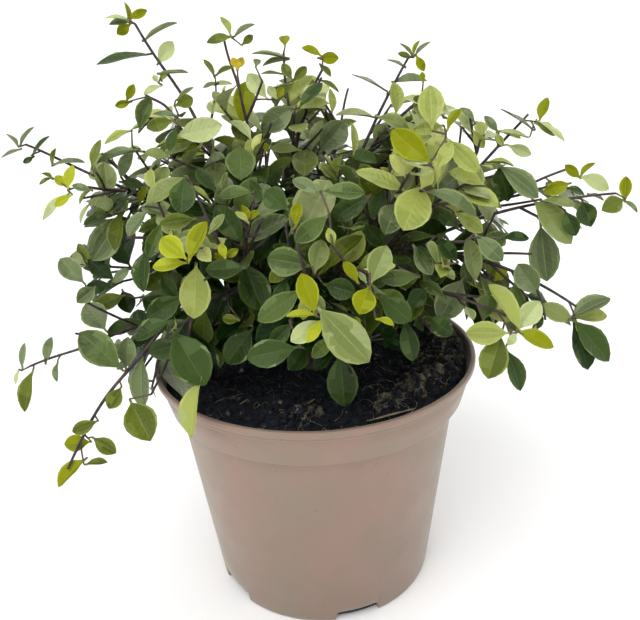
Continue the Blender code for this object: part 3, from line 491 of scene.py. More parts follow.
# How a seen leaf is set in space
SEEN_SEED = 77
SEEN_RATIO = 1.62
SEEN_RATIO_SPREAD = 0.5
SEEN_WIDENING = 1.02
SEEN_FLATTEST = 1.4
SEEN_NARROWEST = 1.95
SEEN_DEPTH_COST = 0.30 / MM
SEEN_BACKWARD_COST = 2.0
SEEN_PUSHES = (0, -2, 2, -4, 4, -7, 7, -10, 10, -14, 14, -18, -22, -27, -32)
SEEN_PUSH_COST = 0.07
SEEN_FRONT_ZONE = 42
SEEN_FARTHEST = 46
SPUR_RADIUS = 0.42 * MM
SPUR_POINTS = 7
SPUR_SHORTEST = 1.3 * MM

# Leaf shades by age and light, as screen colours: dealt by light they are painted light and
# painted shade, and the shadow shade is a painted shadow
SHADES = {
    "shadow": (14, 36, 4),
    "deep": (34, 54, 16),
    "dark": (54, 74, 28),
    "moss": (72, 86, 26),
    "olive": (94, 106, 30),
    "mid": (78, 96, 42),
    "grey": (101, 115, 72),
    "fresh": (118, 130, 68),
    "soft": (131, 140, 88),
    "light": (152, 161, 76),
    "pale": (172, 183, 122),
    "cream": (188, 192, 106),
    "lime": (128, 134, 8),
    "yellow": (160, 166, 26),
    "amber": (176, 152, 28),
    "dry": (204, 208, 184),
}
# Tones the blade is drawn towards: the margin's is partly the leaf's own pale edge and partly a
# painted highlight on lit edges; ribs and undersides are paler in themselves
MARGIN_TONE = (206, 214, 150)
RIB_TONE = (190, 198, 130)
UNDER_TONE = (156, 166, 116)
# Gleam: a painted highlight, a paler band that stands for the leaf's gloss
PAINTED_HIGHLIGHT_TONE = (184, 198, 160)
YOUNG_SHADES = ("cream", "lime", "yellow", "amber")

# Shades dealt to the other leaves: for leaves under an age and over a light, the shades of a
# grown mass and, where they differ, of a young one
# Light and shade are painted in: lit places get the lightest shades, and shaded places inside and
# low in the crown the darkest, down to the shadow shade
SHADE_DEALS = (
    (0.16, 0.40, "light pale light cream soft", "light cream light lime"),
    (0.45, 0.50, "light soft fresh pale olive", "light soft fresh olive"),
    (9.0, 0.78, "light pale cream light cream light pale", None),
    (9.0, 0.64, "fresh grey light olive soft fresh", None),
    (9.0, 0.50, "mid moss dark grey dark deep", None),
    (9.0, -9.0, "dark deep deep shadow moss", None))

# The pot's patches, as screen colours by their place in the noise
POT_TONES = ((0.32, (134, 117, 101)), (0.48, (138, 116, 101)), (0.62, (144, 116, 103)),
             (0.76, (140, 121, 105)))

# Soil, as screen colours: dark, middle and pale grains
SOIL_TONES = {
    "potting_soil": ((2, 6, 15), (7, 13, 26), (30, 38, 52)),
    "crumbs_dark": ((2, 6, 14), (8, 15, 27), (30, 38, 52)),
    "crumbs_brown": ((24, 22, 20), (74, 68, 58), (150, 140, 118)),
    "crumbs_tan": ((60, 52, 44), (92, 82, 68), (132, 120, 98)),
}

# Bark and fibres: dark and pale screen colours, and roughness
BARK_TONES = {
    "bark": ((40, 31, 33), (78, 63, 58), 0.7),
    "young_bark": ((60, 47, 42), (98, 80, 66), 0.65),
    "fibre_straw": ((120, 106, 88), (178, 164, 140), 0.8),
    "fibre_grey": ((102, 92, 80), (184, 172, 150), 0.8),
}


def unit(vector):
    """The vector at length one."""
    return vector / np.linalg.norm(vector)


def across(direction):
    """Two directions at right angles to this one and to each other, the second the upper."""
    side = np.cross(direction, UP)
    if np.linalg.norm(side) < 0.2:
        side = np.cross(direction, [1.0, 0.0, 0.0])
    side = unit(side)
    return side, np.cross(side, direction)


def round_about(sides, degrees):
    """The direction at this angle from the first of two sides towards the second."""
    angle = math.radians(degrees)
    return math.cos(angle) * sides[0] + math.sin(angle) * sides[1]


def smooth_step(share):
    """A share of 0 to 1 that starts and ends gently, by a cubic."""
    return share * share * (3 - 2 * share)


def parabola(start, control, end, t):
    """Points of the parabola from start to end that is drawn towards a control point."""
    return (1 - t) ** 2 * start + 2 * t * (1 - t) * control + t ** 2 * end


def polar(radius, turn, height):
    """Points at these radii, angles and heights round the upright axis."""
    return np.stack([radius * np.cos(turn), radius * np.sin(turn), height + 0 * turn], axis=-1)


def camera_axes():
    """The camera's right, up and backward directions: level right, dropped view, then roll."""
    right = np.array([1.0, 0.0, 0.0])
    back = np.array([0.0, -math.cos(CAMERA_DROP), math.sin(CAMERA_DROP)])
    upper = np.cross(back, right)
    cosine, sine = math.cos(CAMERA_ROLL), math.sin(CAMERA_ROLL)
    return right * cosine + upper * sine, upper * cosine - right * sine, back


def make_camera():
    """The camera, placed and turned by the camera's named values, with the lens that fits."""
    lens = bpy.data.cameras.new("camera")
    lens.sensor_fit = "HORIZONTAL"
    lens.sensor_width = SENSOR
    lens.lens = FOCAL_PIXELS * SENSOR / PICTURE_WIDTH
    lens.clip_start = 0.01
    lens.clip_end = 500
    camera = bpy.data.objects.new("camera", lens)
    bpy.context.scene.collection.objects.link(camera)
    matrix = np.eye(4)
    matrix[:3, :3] = np.stack(camera_axes(), axis=1)
    matrix[:3, 3] = CAMERA_PLACE
    camera.matrix_world = Matrix(matrix.tolist())
    bpy.context.scene.camera = camera


def in_picture(points):
    """Picture coordinates of points, and their distance in front of the camera."""
    right, upper, back = camera_axes()
    offsets = np.atleast_2d(points) - CAMERA_PLACE
    depth = -offsets @ back
    return np.stack([PICTURE_WIDTH / 2 + FOCAL_PIXELS * (offsets @ right) / depth,
                     PICTURE_HEIGHT / 2 - FOCAL_PIXELS * (offsets @ upper) / depth, depth], 1)


def mesh_object(name, points, faces, slots=None, sharp=None, uv=None):
    """A smooth-shaded object at the origin from arrays of points and of faces.

    Slots is the material number of each face, sharp a mask of the points whose joining edges
    stay sharp, and uv one pair of map coordinates for each face corner.
    """
    mesh = bpy.data.meshes.new(name)
    mesh.from_pydata(np.asarray(points).tolist(), [], faces)
    mesh.shade_smooth()
    if slots is not None:
        mesh.polygons.foreach_set("material_index", np.asarray(slots, np.int32))
    if uv is not None:
        layer = mesh.uv_layers.new(name="UVMap")
        layer.data.foreach_set("uv", np.asarray(uv, np.float32).ravel())
    if sharp is not None:
        ends = np.empty(2 * len(mesh.edges), np.int32)
        mesh.edges.foreach_get("vertices", ends)
        ends = ends.reshape(-1, 2)
        marks = mesh.attributes.get("sharp_edge") or mesh.attributes.new(
            "sharp_edge", "BOOLEAN", "EDGE")
        marks.data.foreach_set("value", sharp[ends[:, 0]] & sharp[ends[:, 1]])
    mesh.update()
    thing = bpy.data.objects.new(name, mesh)
    bpy.context.scene.collection.objects.link(thing)
    return thing


def as_tuples(rows):
    """The rows of an array's last axis as a list of tuples."""
    return [tuple(row) for row in rows.reshape(-1, rows.shape[-1]).tolist()]


def ring_faces(rings, sides, offset=0, flipped=False):
    """Faces between closed rings of points, and the numbers of the points as (ring, side)."""
    index = offset + np.arange(rings * sides).reshape(rings, sides)
    after = np.roll(index, -1, axis=1)
    corners = [index[:-1], after[:-1], after[1:], index[1:]]
    if flipped:
        corners = [corners[k] for k in (0, 3, 2, 1)]
    return as_tuples(np.stack(corners, axis=-1)), index


def fan(centre, ring, flipped=False):
    """Triangles from a middle point to a closed ring of points."""
    pairs = zip(ring.tolist(), np.roll(ring, -1).tolist())
    return [(centre, b, a) if flipped else (centre, a, b) for a, b in pairs]


def repeated(faces, count, each):
    """The faces of so many copies of a shape that has this many points."""
    return [tuple(corner + number * each for corner in face)
            for number in range(count) for face in faces]


def joined_tubes(name, grids):
    """One joined mesh of tubes with closed ends, one for each (ring, side) grid of points."""
    points, faces, offset = [], [], 0
    for grid in grids:
        rings, sides = grid.shape[:2]
        quads, index = ring_faces(rings, sides, offset)
        faces += quads + [tuple(index[0][::-1].tolist()), tuple(index[-1].tolist())]
        points.append(grid.reshape(-1, 3))
        offset += rings * sides
    return mesh_object(name, np.concatenate(points), faces)


def piece(thing, slot, *materials, replaces=()):
    """Finish a piece: its materials, its body and the nodes it stands for. The slot is not used.
    """
    for finish in materials:
        thing.data.materials.append(finish)
    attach(thing, "root")
    if replaces:
        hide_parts(*replaces)
    return thing


# Limbs, by the rule of the solids


class Path:
    """A tapering line through space, read by its share of length."""

    def __init__(self, points, radii):
        self.points = np.array(points)
        self.radii = np.array(radii)
        steps = np.linalg.norm(np.diff(self.points, axis=0), axis=1)
        self.along = np.concatenate([[0], np.cumsum(steps)])
        self.length = self.along[-1]

    def at(self, share):
        """The point or points at this share or these shares of the length."""
        place = share * self.length
        return np.stack([np.interp(place, self.along, self.points[:, k]) for k in range(3)], -1)

    def radius(self, share):
        """The radius at this share of the length."""
        return float(np.interp(share * self.length, self.along, self.radii))

    def direction(self, share):
        """The direction of growth at this share of the length."""
        step = 0.02
        return unit(self.at(min(1.0, share + step)) - self.at(max(0.0, share - step)))

    def part(self, start, end, spacing):
        """The stretch from one share to another, with points about this far apart."""
        count = max(2, int(round((end - start) * self.length / spacing)) + 1)
        shares = np.linspace(start, end, count)
        return Path(self.at(shares), np.interp(shares * self.length, self.along, self.radii))


def trunk_path():
    """The trunk's axis and radii from the cut on the soil to its top."""
    shares = np.linspace(0, 1, 45)
    bend = np.clip((shares - TRUNK_UPRIGHT_SHARE) / (1 - TRUNK_UPRIGHT_SHARE), 0, None)
    bend = bend ** TRUNK_BEND_POWER
    points = np.stack([TRUNK_LEAN[0] * bend, TRUNK_LEAN[1] * bend,
                       SOIL_TOP + GAP + TRUNK_HEIGHT * shares], axis=1)
    radii = TRUNK_TOP_RADIUS + (TRUNK_FOOT_RADIUS - TRUNK_TOP_RADIUS) * (1 - shares)
    radii += TRUNK_FLARE * np.exp(-shares / TRUNK_FLARE_SHARE)
    return Path(points, radii)


def tip_point(bearing, reach, height):
    """A tip from its bearing in degrees and its reach and height in mm."""
    turn = math.radians(bearing)
    return np.array([reach * math.sin(turn) * MM, -reach * math.cos(turn) * MM,
                     SOIL_TOP + height * MM])


def curved_path(start, tip, crest_height, seed):
    """A parabola from start towards tip, drawn up to a crest, that wavers a little sideways.

    The waver is a sine that is nil at both ends, and its phase comes from the seed. The line
    stops short of the tip by the length that the leaves at its end stand out.
    """
    t = np.linspace(0, 1, CURVE_POINTS)[:, None]
    control = start + CONTROL_SHARE * (tip - start)
    control[2] = crest_height
    points = parabola(start, control, tip, t)
    draw = np.random.default_rng(seed)
    side, upper = across(unit(tip - start))
    turns = draw.uniform(*WAVER_TURNS)
    swing = np.sin(2 * math.pi * turns * t + draw.uniform(0, 2 * math.pi)) * np.sin(math.pi * t)
    waver = WAVER_SHARE * np.linalg.norm(tip - start)
    points = points + waver * swing * (side + WAVER_RISE * upper)
    line = Path(points, np.interp(t[:, 0], [0, 1], [FORK_STEM_RADIUS, STEM_TIP_RADIUS]))
    return line.part(0, 1 - TIP_REACH / line.length, 2 * MM)


def grow_limbs():
    """Every limb's path from its parent's axis to its tip, and the forks of each limb."""
    paths = {"trunk": trunk_path()}
    for number, limb in enumerate(LIMBS):
        parent = paths[limb.parent]
        root_radius = BOUGH_RADIUS if limb.parent == "trunk" else FORK_BOUGH_RADIUS
        tip = tip_point(limb.bearing, limb.reach, limb.height)
        path = curved_path(parent.at(limb.start), tip, SOIL_TOP + limb.crest * MM,
                           LIMB_SEED + number)
        path.radii = np.interp(path.along / path.length, [0, max(limb.bare, TAPER_SHARE), 1],
                               [root_radius, STEM_RADIUS, STEM_TIP_RADIUS])
        paths[limb.name] = path
    forks = {limb.name: [] for limb in LIMBS}
    for number, fork in enumerate(FORKS):
        start = paths[fork.limb].at(fork.start)
        tip = tip_point(fork.bearing, fork.reach, fork.height)
        crest = start[2] + FORK_CREST_SHARE * (tip[2] - start[2]) + FORK_CREST_RISE
        forks[fork.limb].append(curved_path(start, tip, crest, FORK_SEED + number))
    return paths, forks


# Space that twigs and leaves keep to


class Crown:
    """Which space is a mass's own, and what already stands there."""

    def __init__(self, stems):
        self.names = list(stems)
        rows = [(point, number) for number, name in enumerate(self.names)
                for path in stems[name] for point in path.part(0, 1, 3 * MM).points]
        self.owners = [number for point, number in rows]
        self.tree = KDTree(len(rows))
        for index, (point, number) in enumerate(rows):
            self.tree.insert(point, index)
        self.tree.balance()
        self.leaves = []
        self.middles = np.zeros((0, 3))
        self.seen = np.zeros((0, 7))
        self.wood = None

    def owns(self, name, points, slack=0.0):
        """Whether these points are nearest to the stems of the mass with this name."""
        number = self.names.index(name)
        for point in points:
            _, index, distance = self.tree.find(point)
            if self.owners[index] != number:
                if slack <= 0:
                    return False
                near = self.tree.find_range(point, distance + slack)
                if all(self.owners[row[1]] != number for row in near):
                    return False
        return True

    def keep_in_view(self, base, tip, width, depth):
        """Remember a seen leaf's place in the picture as an ellipse, and its depth."""
        along = unit(tip - base)
        over = np.array([-along[1], along[0]])
        self.seen = np.concatenate([self.seen, [[
            *((base + tip) / 2), *(along / (0.5 * np.linalg.norm(tip - base))),
            *(over / (0.5 * width)), depth]]])

    def hides(self, points):
        """Whether points stand before a seen leaf in the picture, nearer than it."""
        if not len(self.seen):
            return False
        seen = in_picture(points)
        away = seen[:, None, :2] - self.seen[None, :, :2]
        along, over = self.seen[:, 2:4], self.seen[:, 4:6]
        inside = (np.sum(away * along, axis=2) ** 2 + np.sum(away * over, axis=2) ** 2) < 1
        return bool(np.any(inside & (seen[:, None, 2] < self.seen[None, :, 6] + 2 * MM)))

    def in_the_way(self, points):
        """How many of a leaf's middle points wood or leaves hide, and how much it hides itself."""
        toward = unit(points[PROXY_MIDDLE] - CAMERA_PLACE)
        offsets = self.middles - CAMERA_PLACE
        away = np.linalg.norm(offsets - (offsets @ toward)[:, None] * toward, axis=1)
        trees = [self.wood] + [self.leaves[k] for k in np.nonzero(away < NEAR_RAY)[0]]
        hidden = 0
        for point in points[[1, 4, 7, 3, 5]]:
            reach = np.linalg.norm(point - CAMERA_PLACE)
            ray = Vector((point - CAMERA_PLACE) / reach)
            hits = (tree.ray_cast(Vector(CAMERA_PLACE), ray, reach - 1 * MM)[0] for tree in trees)
            hidden += any(hit is not None for hit in hits)
        return hidden + 2.0 * self.hides(points)

    def over_pot(self, points):
        """Whether these points are clear of soil and pot."""
        radii = np.hypot(points[:, 0], points[:, 1])
        heights = points[:, 2]
        over_soil = (radii < LIP_RADIUS - LIP_WALL - BESIDE_LIP) & (heights > SOIL_TOP + OVER_SOIL)
        beside = radii > LIP_RADIUS + BESIDE_LIP
        return bool(np.all(over_soil | beside | (heights > POT_HEIGHT + BESIDE_LIP)))

    def add_leaf(self, tree, middle):
        """Remember a leaf that has been placed."""
        self.leaves.append(tree)
        self.middles = np.concatenate([self.middles, middle[None]])

    def meets(self, tree, middle, reach):
        """Whether a leaf's faces cut wood or another leaf."""
        if self.wood and tree.overlap(self.wood):
            return True
        near = np.nonzero(np.linalg.norm(self.middles - middle, axis=1) < reach)[0]
        return any(tree.overlap(self.leaves[k]) for k in near)


def make_twigs(name, stems, bough, crown, draw):
    """Side twigs by rule: up each stem, turned on by the spiral, shorter towards the tip."""
    twigs = []
    turn = draw.uniform(0, 360)
    places = [(stem, share, None) for stem in stems for share in STEM_TWIG_SHARES]
    if bough is not None:
        places += [(bough, share, draw.uniform(*BOUGH_TWIG_LENGTH))
                   for share in BOUGH_TWIG_SHARES]
    along = np.linspace(0, 1, TWIG_POINTS)[:, None]
    for stem, share, length in places:
        turn += SPIRAL
        forward = stem.direction(share)
        sides = across(forward)
        if length is None:
            length = TWIG_LENGTH_SHARES[0] + TWIG_LENGTH_SHARES[1] * (1 - share)
            length = (length * stem.length + TWIG_EXTRA_LENGTH) * draw.uniform(*TWIG_LENGTH_RANGE)
        for trial in TWIG_TURNS:
            outward = round_about(sides, turn + trial)
            heading = unit(TWIG_HEADING[0] * forward + TWIG_HEADING[1] * outward
                           + TWIG_HEADING[2] * UP)
            sway = draw.uniform(-TWIG_SWAY, TWIG_SWAY)
            points = (stem.at(share) + length * along * heading + TWIG_LIFT * along ** 2 * UP
                      + sway * length * np.sin(math.pi * along) * np.cross(heading, UP))
            twig = Path(points, np.linspace(TWIG_RADIUS, STEM_TIP_RADIUS * 0.9, TWIG_POINTS))
            if (shows_in_crown(twig.points[-2:]) and crown.over_pot(twig.points[2:])
                    and crown.owns(name, twig.points[4:], 2 * MM)):
                twigs.append(twig)
                break
    return twigs


# Leaves

Leaf = namedtuple("Leaf", "root heading facing length width cup arch wave phase twist shade")


def leaf_outline(t):
    """Half-width of a leaf of width two: a power of the way up times one of the way left.

    It is drawn out at the foot, widest a little past the middle and bluntly pointed.
    """
    t = np.clip(t, 0, 1)
    return LEAF_FULLNESS * t ** LEAF_FOOT_POWER * (1 - t) ** LEAF_POINT_POWER


def upward_of(facing, heading):
    """Where upper sides look: facings less their parts along the headings, row by row."""
    upward = facing - np.sum(facing * heading, axis=1)[:, None] * heading
    return upward / np.linalg.norm(upward, axis=1)[:, None]


def square_to(direction, heading):
    """One direction less its part along the heading, at length one."""
    return unit(direction - (direction @ heading) * heading)


def leaf_points(leaves, rows, columns):
    """Points of leaves on a grid of rows along and columns across, as (leaf, row, column).

    Along the leaf the blade arches down by the square of the distance, across it cups up by a
    power of the distance from the rib, and its margin waves by a sine.
    """
    root, heading, facing = (np.array([leaf[k] for leaf in leaves]) for k in range(3))
    length, width, cup, arch, wave, phase, twist = (
        np.array([leaf[k] for leaf in leaves])[:, None, None] for k in range(3, 10))
    t = rows[None, :, None]
    u = columns[None, None, :]
    blade = np.clip(t, 0, 1)
    stalk_half = STALK_HALF + 0.006 * length * (t > -0.1)
    half = np.maximum(0.5 * width * length * leaf_outline(t), np.where(t < 0.05, stalk_half, 0))
    half = np.where(t >= 0.999, POINT_HALF, half)
    x = length * (t + LEAF_STALK_SHARE - arch ** 2 * blade ** 3 / 5)
    z = -0.5 * length * arch * blade ** 2
    y = u * half
    rise = cup * half * np.abs(u) ** CUP_POWER * (blade > 0)
    rise = rise + wave * length * u ** 2 * np.sin(8.0 * blade + phase + 1.3 * np.sign(u)) * (
        np.sin(math.pi * blade))
    rise = rise - RIB_SINK * (np.abs(u) < 0.1) * (blade > 0)
    turn = twist * blade
    y, z = y * np.cos(turn) - rise * np.sin(turn), z + y * np.sin(turn) + rise * np.cos(turn)
    upward = upward_of(facing, heading)
    side = np.cross(upward, heading)
    return (root[:, None, None, :] + x[..., None] * heading[:, None, None, :]
            + y[..., None] * side[:, None, None, :] + z[..., None] * upward[:, None, None, :])


def leaf_faces():
    """Faces of one leaf, their parts, their places as (along, across) and their map coordinates.

    The top is a grid with a narrow strip along the rib, the underside two strips that share
    its margins and meet at a rib below, and both ends are closed. Part 0 is the blade, 1 the
    rib and stalk, 2 the underside and 3 the margin.
    """
    rows, columns = len(LEAF_ROWS), len(LEAF_COLUMNS)
    below = rows * columns
    faces, parts, places = [], [], []
    for r in range(rows - 1):
        for c in range(columns - 1):
            a = r * columns + c
            faces.append((a, a + columns, a + columns + 1, a + 1))
            rib = c == columns // 2 - 1 or r == 0
            parts.append(1 if rib else 3 if c in (0, columns - 2) else 0)
            places.append((LEAF_ROWS[r:r + 2].mean(), LEAF_COLUMNS[c:c + 2].mean()))
        left, right = r * columns, r * columns + columns - 1
        faces.append((left, below + r, below + r + 1, left + columns))
        faces.append((below + r, right, right + columns, below + r + 1))
        parts += [1, 1] if r == 0 else [2, 2]
        places += [(0, 0), (0, 0)]
    faces.append((*range(columns), below))
    last = (rows - 1) * columns
    faces.append((below + rows - 1, *range(last + columns - 1, last - 1, -1)))
    parts += [1, 2]
    places += [(0, 0), (0, 0)]
    across_map = np.concatenate([np.tile(LEAF_COLUMNS, rows), np.zeros(rows)]) / 2 + 0.5
    along_map = np.concatenate([np.repeat(LEAF_ROWS, columns), LEAF_ROWS])
    corners = np.array([corner for face in faces for corner in face])
    return (faces, np.array(parts), np.array(places),
            np.stack([across_map, along_map], axis=1)[corners])


def leaf_tones(leaves, parts, places):
    """Material numbers of every leaf's faces: zones are darker, number 4, or take a painted
    highlight, number 5.

    By the leaf's own phase the middle, one side or the end is darker, partly the leaf's own
    mottling and partly painted shade of its fold, and a zone beside the rib or the margin is a
    painted highlight.
    """
    phase = np.array([leaf.phase for leaf in leaves])[:, None]
    along, over = places[None, :, 0], places[None, :, 1]
    # Darker zones, number 4: partly the leaf's own mottling, partly painted shade; one darker side
    # is the painted shade of its fold
    middle = (phase < 1.7) & (np.abs(over) < 0.46)
    side = (phase > 1.7) & (phase < 3.0) & (over > 0)
    end = (phase > 4.6) & (along > 0.6)
    # Painted highlight, number 5: a paler band beside the rib or the margin that stands for gloss
    flank = over * np.sign(np.sin(5 * phase)) > np.where(np.sin(13 * phase) > 0.2, 0.1, 0.3)
    first = np.where(np.sin(11 * phase) > 0, 0.1, 0.4)
    painted_highlight = flank & (along > first) & (along < first + 0.4) & (np.sin(3 * phase) > -0.6)
    tones = np.where(middle | side | end, 4, parts[None, :])
    return np.where(parts[None, :] == 0, np.where(painted_highlight, 5, tones), parts[None, :])


def leaf_mesh(name, leaves):
    """One joined mesh of leaves: every leaf's top grid, and the rib points of its underside."""
    top = leaf_points(leaves, LEAF_ROWS, LEAF_COLUMNS)
    low = leaf_points(leaves, LEAF_ROWS, np.zeros(1))
    heading, facing = (np.array([leaf[k] for leaf in leaves]) for k in (1, 2))
    rib = np.where(LEAF_ROWS < 0.05, 0.9, 0.62 - 0.4 * np.clip(LEAF_ROWS, 0, 1)) * MM
    low = low[:, :, 0] - rib[None, :, None] * upward_of(facing, heading)[:, None, :]
    count = len(leaves)
    points = np.concatenate([top.reshape(count, -1, 3), low], axis=1)
    each = points.shape[1]
    faces, parts, places, uv = leaf_faces()
    margin = np.zeros(each, bool)
    margin[:len(LEAF_ROWS) * len(LEAF_COLUMNS)] = np.tile(np.abs(LEAF_COLUMNS) == 1,
                                                          len(LEAF_ROWS))
    return mesh_object(name, points.reshape(-1, 3), repeated(faces, count, each),
                       leaf_tones(leaves, parts, places).ravel(), np.tile(margin, count),
                       np.tile(uv, (count, 1)))


def leaf_proxy(leaf):
    """A coarse copy of a leaf's blade, for finding what it would cut."""
    points = leaf_points([leaf], PROXY_ROWS, PROXY_COLUMNS)[0].reshape(-1, 3)
    return points, BVHTree.FromPolygons(points.tolist(), PROXY_FACES)


def deal_shade(age, light, young, draw):
    """The shade of a leaf by its age, the light it stands in, painted into it, and a draw."""
    for oldest, least, grown_names, young_names in SHADE_DEALS:
        if age < oldest and light > least:
            names = ((young and young_names) or grown_names).split()
            return names[int(draw.integers(len(names)))]


def painted_light_on(place):
    """How light it is at a place, for the painted light and shade of leaf shades: more so
    outwards, upwards and to the right.
    """
    light = LIGHT_OUTER * np.linalg.norm((place - CROWN_MIDDLE) / CROWN_HALVES)
    light = light + LIGHT_UPPER * np.clip((place[2] - SOIL_TOP) / CROWN_HEIGHT, 0, 1)
    return light + LIGHT_RIGHT * np.clip(place[0] / LIGHT_RIGHT_REACH, 0, 1)


def grow_leaf(path, share, turn, size, name, crown, draw, age, rosette=False):
    """The leaf at a station, or None: it tries turns round its stem and three sizes."""
    forward = path.direction(share)
    sides = across(forward)
    place = path.at(share)
    radius = path.radius(share)
    lean = math.radians(draw.uniform(*(ROSETTE_LEAN if rosette else LEAF_LEAN)))
    radial = unit(place - CROWN_MIDDLE)
    facing = (UP_SHARE * UP + OUTWARD_SHARE * radial + AHEAD_SHARE * forward
              + FRONT_SHARE * FRONT + draw.normal(0, FACING_WAVER, 3))
    width, cup, arch, wave, phase, twist = (
        draw.uniform(*span) for span in (LEAF_WIDTH, LEAF_CUP, LEAF_ARCH, LEAF_WAVE, (0, 6.28),
                                         LEAF_TWIST))
    for shrink in LEAF_SIZES:
        for trial in LEAF_TURNS:
            outward = round_about(sides, turn + trial)
            heading = unit(math.cos(lean) * forward + math.sin(lean) * outward)
            leaf = Leaf(place + 0.6 * radius * outward, heading, facing, size * shrink, width,
                        cup, arch, wave, phase, twist, None)
            points, tree = leaf_proxy(leaf)
            middle = points[PROXY_MIDDLE]
            if not crown.over_pot(points) or square_to(facing, heading) @ radial < -0.1:
                continue
            if not crown.owns(name, [points[PROXY_TIP], middle], 2.5 * MM):
                continue
            if not shows_in_crown(points[[3, 4, 5, 7, 10]]):
                continue
            if crown.meets(tree, middle, 1.1 * size + 14 * MM):
                continue
            if crown.hides(leaf_points([leaf], HIDING_ROWS, HIDING_COLUMNS)[0].reshape(-1, 3)):
                continue
            crown.add_leaf(tree, middle)
            # Painted light and shade: the leaf's shade follows how lit its place is
            shade = deal_shade(age, painted_light_on(middle), name in YOUNG, draw)
            return leaf._replace(shade=shade)
    return None


def picture_point(pixel, depth):
    """The point in space seen at this place of the picture, this deep before the camera."""
    right, upper, back = camera_axes()
    shift = (pixel[0] - PICTURE_WIDTH / 2) * right - (pixel[1] - PICTURE_HEIGHT / 2) * upper
    return CAMERA_PLACE + depth * (shift / FOCAL_PIXELS - back)


def in_outline(pixels, outline):
    """Whether each place of the picture is inside the closed outline, by counting crossings."""
    x, y = pixels[:, None, 0], pixels[:, None, 1]
    ends = np.roll(outline, -1, axis=0)
    low, high = outline[None], ends[None]
    spans = (low[..., 1] > y) != (high[..., 1] > y)
    rise = np.where(low[..., 1] == high[..., 1], 1.0, high[..., 1] - low[..., 1])
    crossing = low[..., 0] + (y - low[..., 1]) * (high[..., 0] - low[..., 0]) / rise
    return np.sum(spans & (x < crossing), axis=1) % 2 == 1


def shows_in_crown(points):
    """Whether points are inside the crown's outline in the picture, or behind the pot."""
    seen = in_picture(points)
    behind = ((points[:, 1] > 60 * MM) & (seen[:, 1] > 300) & (seen[:, 0] > 172)
              & (seen[:, 0] < 470))
    gaps = np.linalg.norm(seen[:, None, :2] - SKY_GAPS[None, :, :2], axis=2)
    open_sky = np.any(gaps < SKY_GAPS[None, :, 2] + 3, axis=1)
    return bool(np.all((in_outline(seen[:, :2], CROWN_OUTLINE) & ~open_sky) | behind))


class Anchors:
    """Places along the wood that seen leaves may grow from, with their picture places."""

    def __init__(self):
        self.paths = []
        self.rows = np.zeros((0, 7))

    def add(self, path, first=0.0):
        """Add a path from a share of its length to its end."""
        part = path.part(first, 1, 2 * MM)
        shares = first + (1 - first) * part.along / part.length
        numbers = np.full(len(shares), len(self.paths))
        places = in_picture(part.points)
        ahead = np.gradient(places[:, :2], axis=0)
        ahead /= np.maximum(np.linalg.norm(ahead, axis=1), 1e-9)[:, None]
        rows = np.column_stack([places, shares, numbers, ahead])
        self.rows = np.concatenate([self.rows, rows])
        self.paths.append(path)

    def nearest(self, pixel):
        """The path and share whose picture place is nearest to a leaf's foot.

        Those in front are preferred, and those from which the leaf would grow forward.
        """
        shift = pixel - self.rows[:, :2]
        away = np.linalg.norm(shift, axis=1)
        forward = np.sum(shift * self.rows[:, 5:7], axis=1) / np.maximum(away, 1e-9)
        around = self.rows[away < SEEN_FRONT_ZONE]
        front = around[:, 2].min() if len(around) else self.rows[:, 2].min()
        cost = away * (1 + SEEN_BACKWARD_COST * np.clip(0.75 - forward, 0, None))
        best = int(np.argmin(cost + SEEN_DEPTH_COST * (self.rows[:, 2] - front)))
        return self.paths[int(self.rows[best, 4])], self.rows[best, 3], away[best]


def spur_path(start, end, forward):
    """A short twig as a parabola from the stem to a leaf's foot, leaving it a little forward."""
    t = np.linspace(0, 1, SPUR_POINTS)[:, None]
    reach = np.linalg.norm(end - start)
    control = start + 0.45 * (end - start) + 0.05 * reach * forward
    return Path(parabola(start, control, end, t),
                np.linspace(SPUR_RADIUS * 1.15, SPUR_RADIUS * 0.85, SPUR_POINTS))


def seen_leaf(row, spot, end, depth, lines):
    """A seen leaf's shape and turn from where its blade starts and ends in the picture.

    A blade that looks shorter than its width allows leans towards or away from the camera by
    the arc cosine of the two lengths, and one that looks too narrow is rolled by that of the
    two widths, with its upper side to the sky. Lines are eight draws of 0 to 1.
    """
    reach = np.linalg.norm(end - spot)
    width = row.width * depth / FOCAL_PIXELS
    length, broad, lean, roll = reach, width, 0.0, 0.0
    if reach / width < SEEN_FLATTEST:
        length = SEEN_FLATTEST * width
        lean = math.acos(reach / length)
    elif reach / width > SEEN_NARROWEST:
        broad = reach / (SEEN_RATIO + SEEN_RATIO_SPREAD * lines[0])
        roll = math.acos(min(1.0, width / broad))
    view = unit(CAMERA_PLACE - spot)
    toward = 1 if row.tip_y > row.base_y - 4 else -1
    heading = unit(math.cos(lean) * unit(end - spot) + toward * math.sin(lean) * view)
    front = square_to(view, heading)
    side = np.cross(heading, front)
    if side @ UP < 0:
        side = -side
    facing = math.cos(roll) * front + math.sin(roll) * side
    root = spot - LEAF_STALK_SHARE * length * heading
    return Leaf(root, heading, facing, length, SEEN_WIDENING * broad / length,
                0.12 + 0.40 * lines[1], 0.04 + 0.28 * lines[2], 0.006 + 0.018 * lines[3],
                2 * math.pi * lines[4], 0.30 * (lines[5] - 0.5), row.shade)


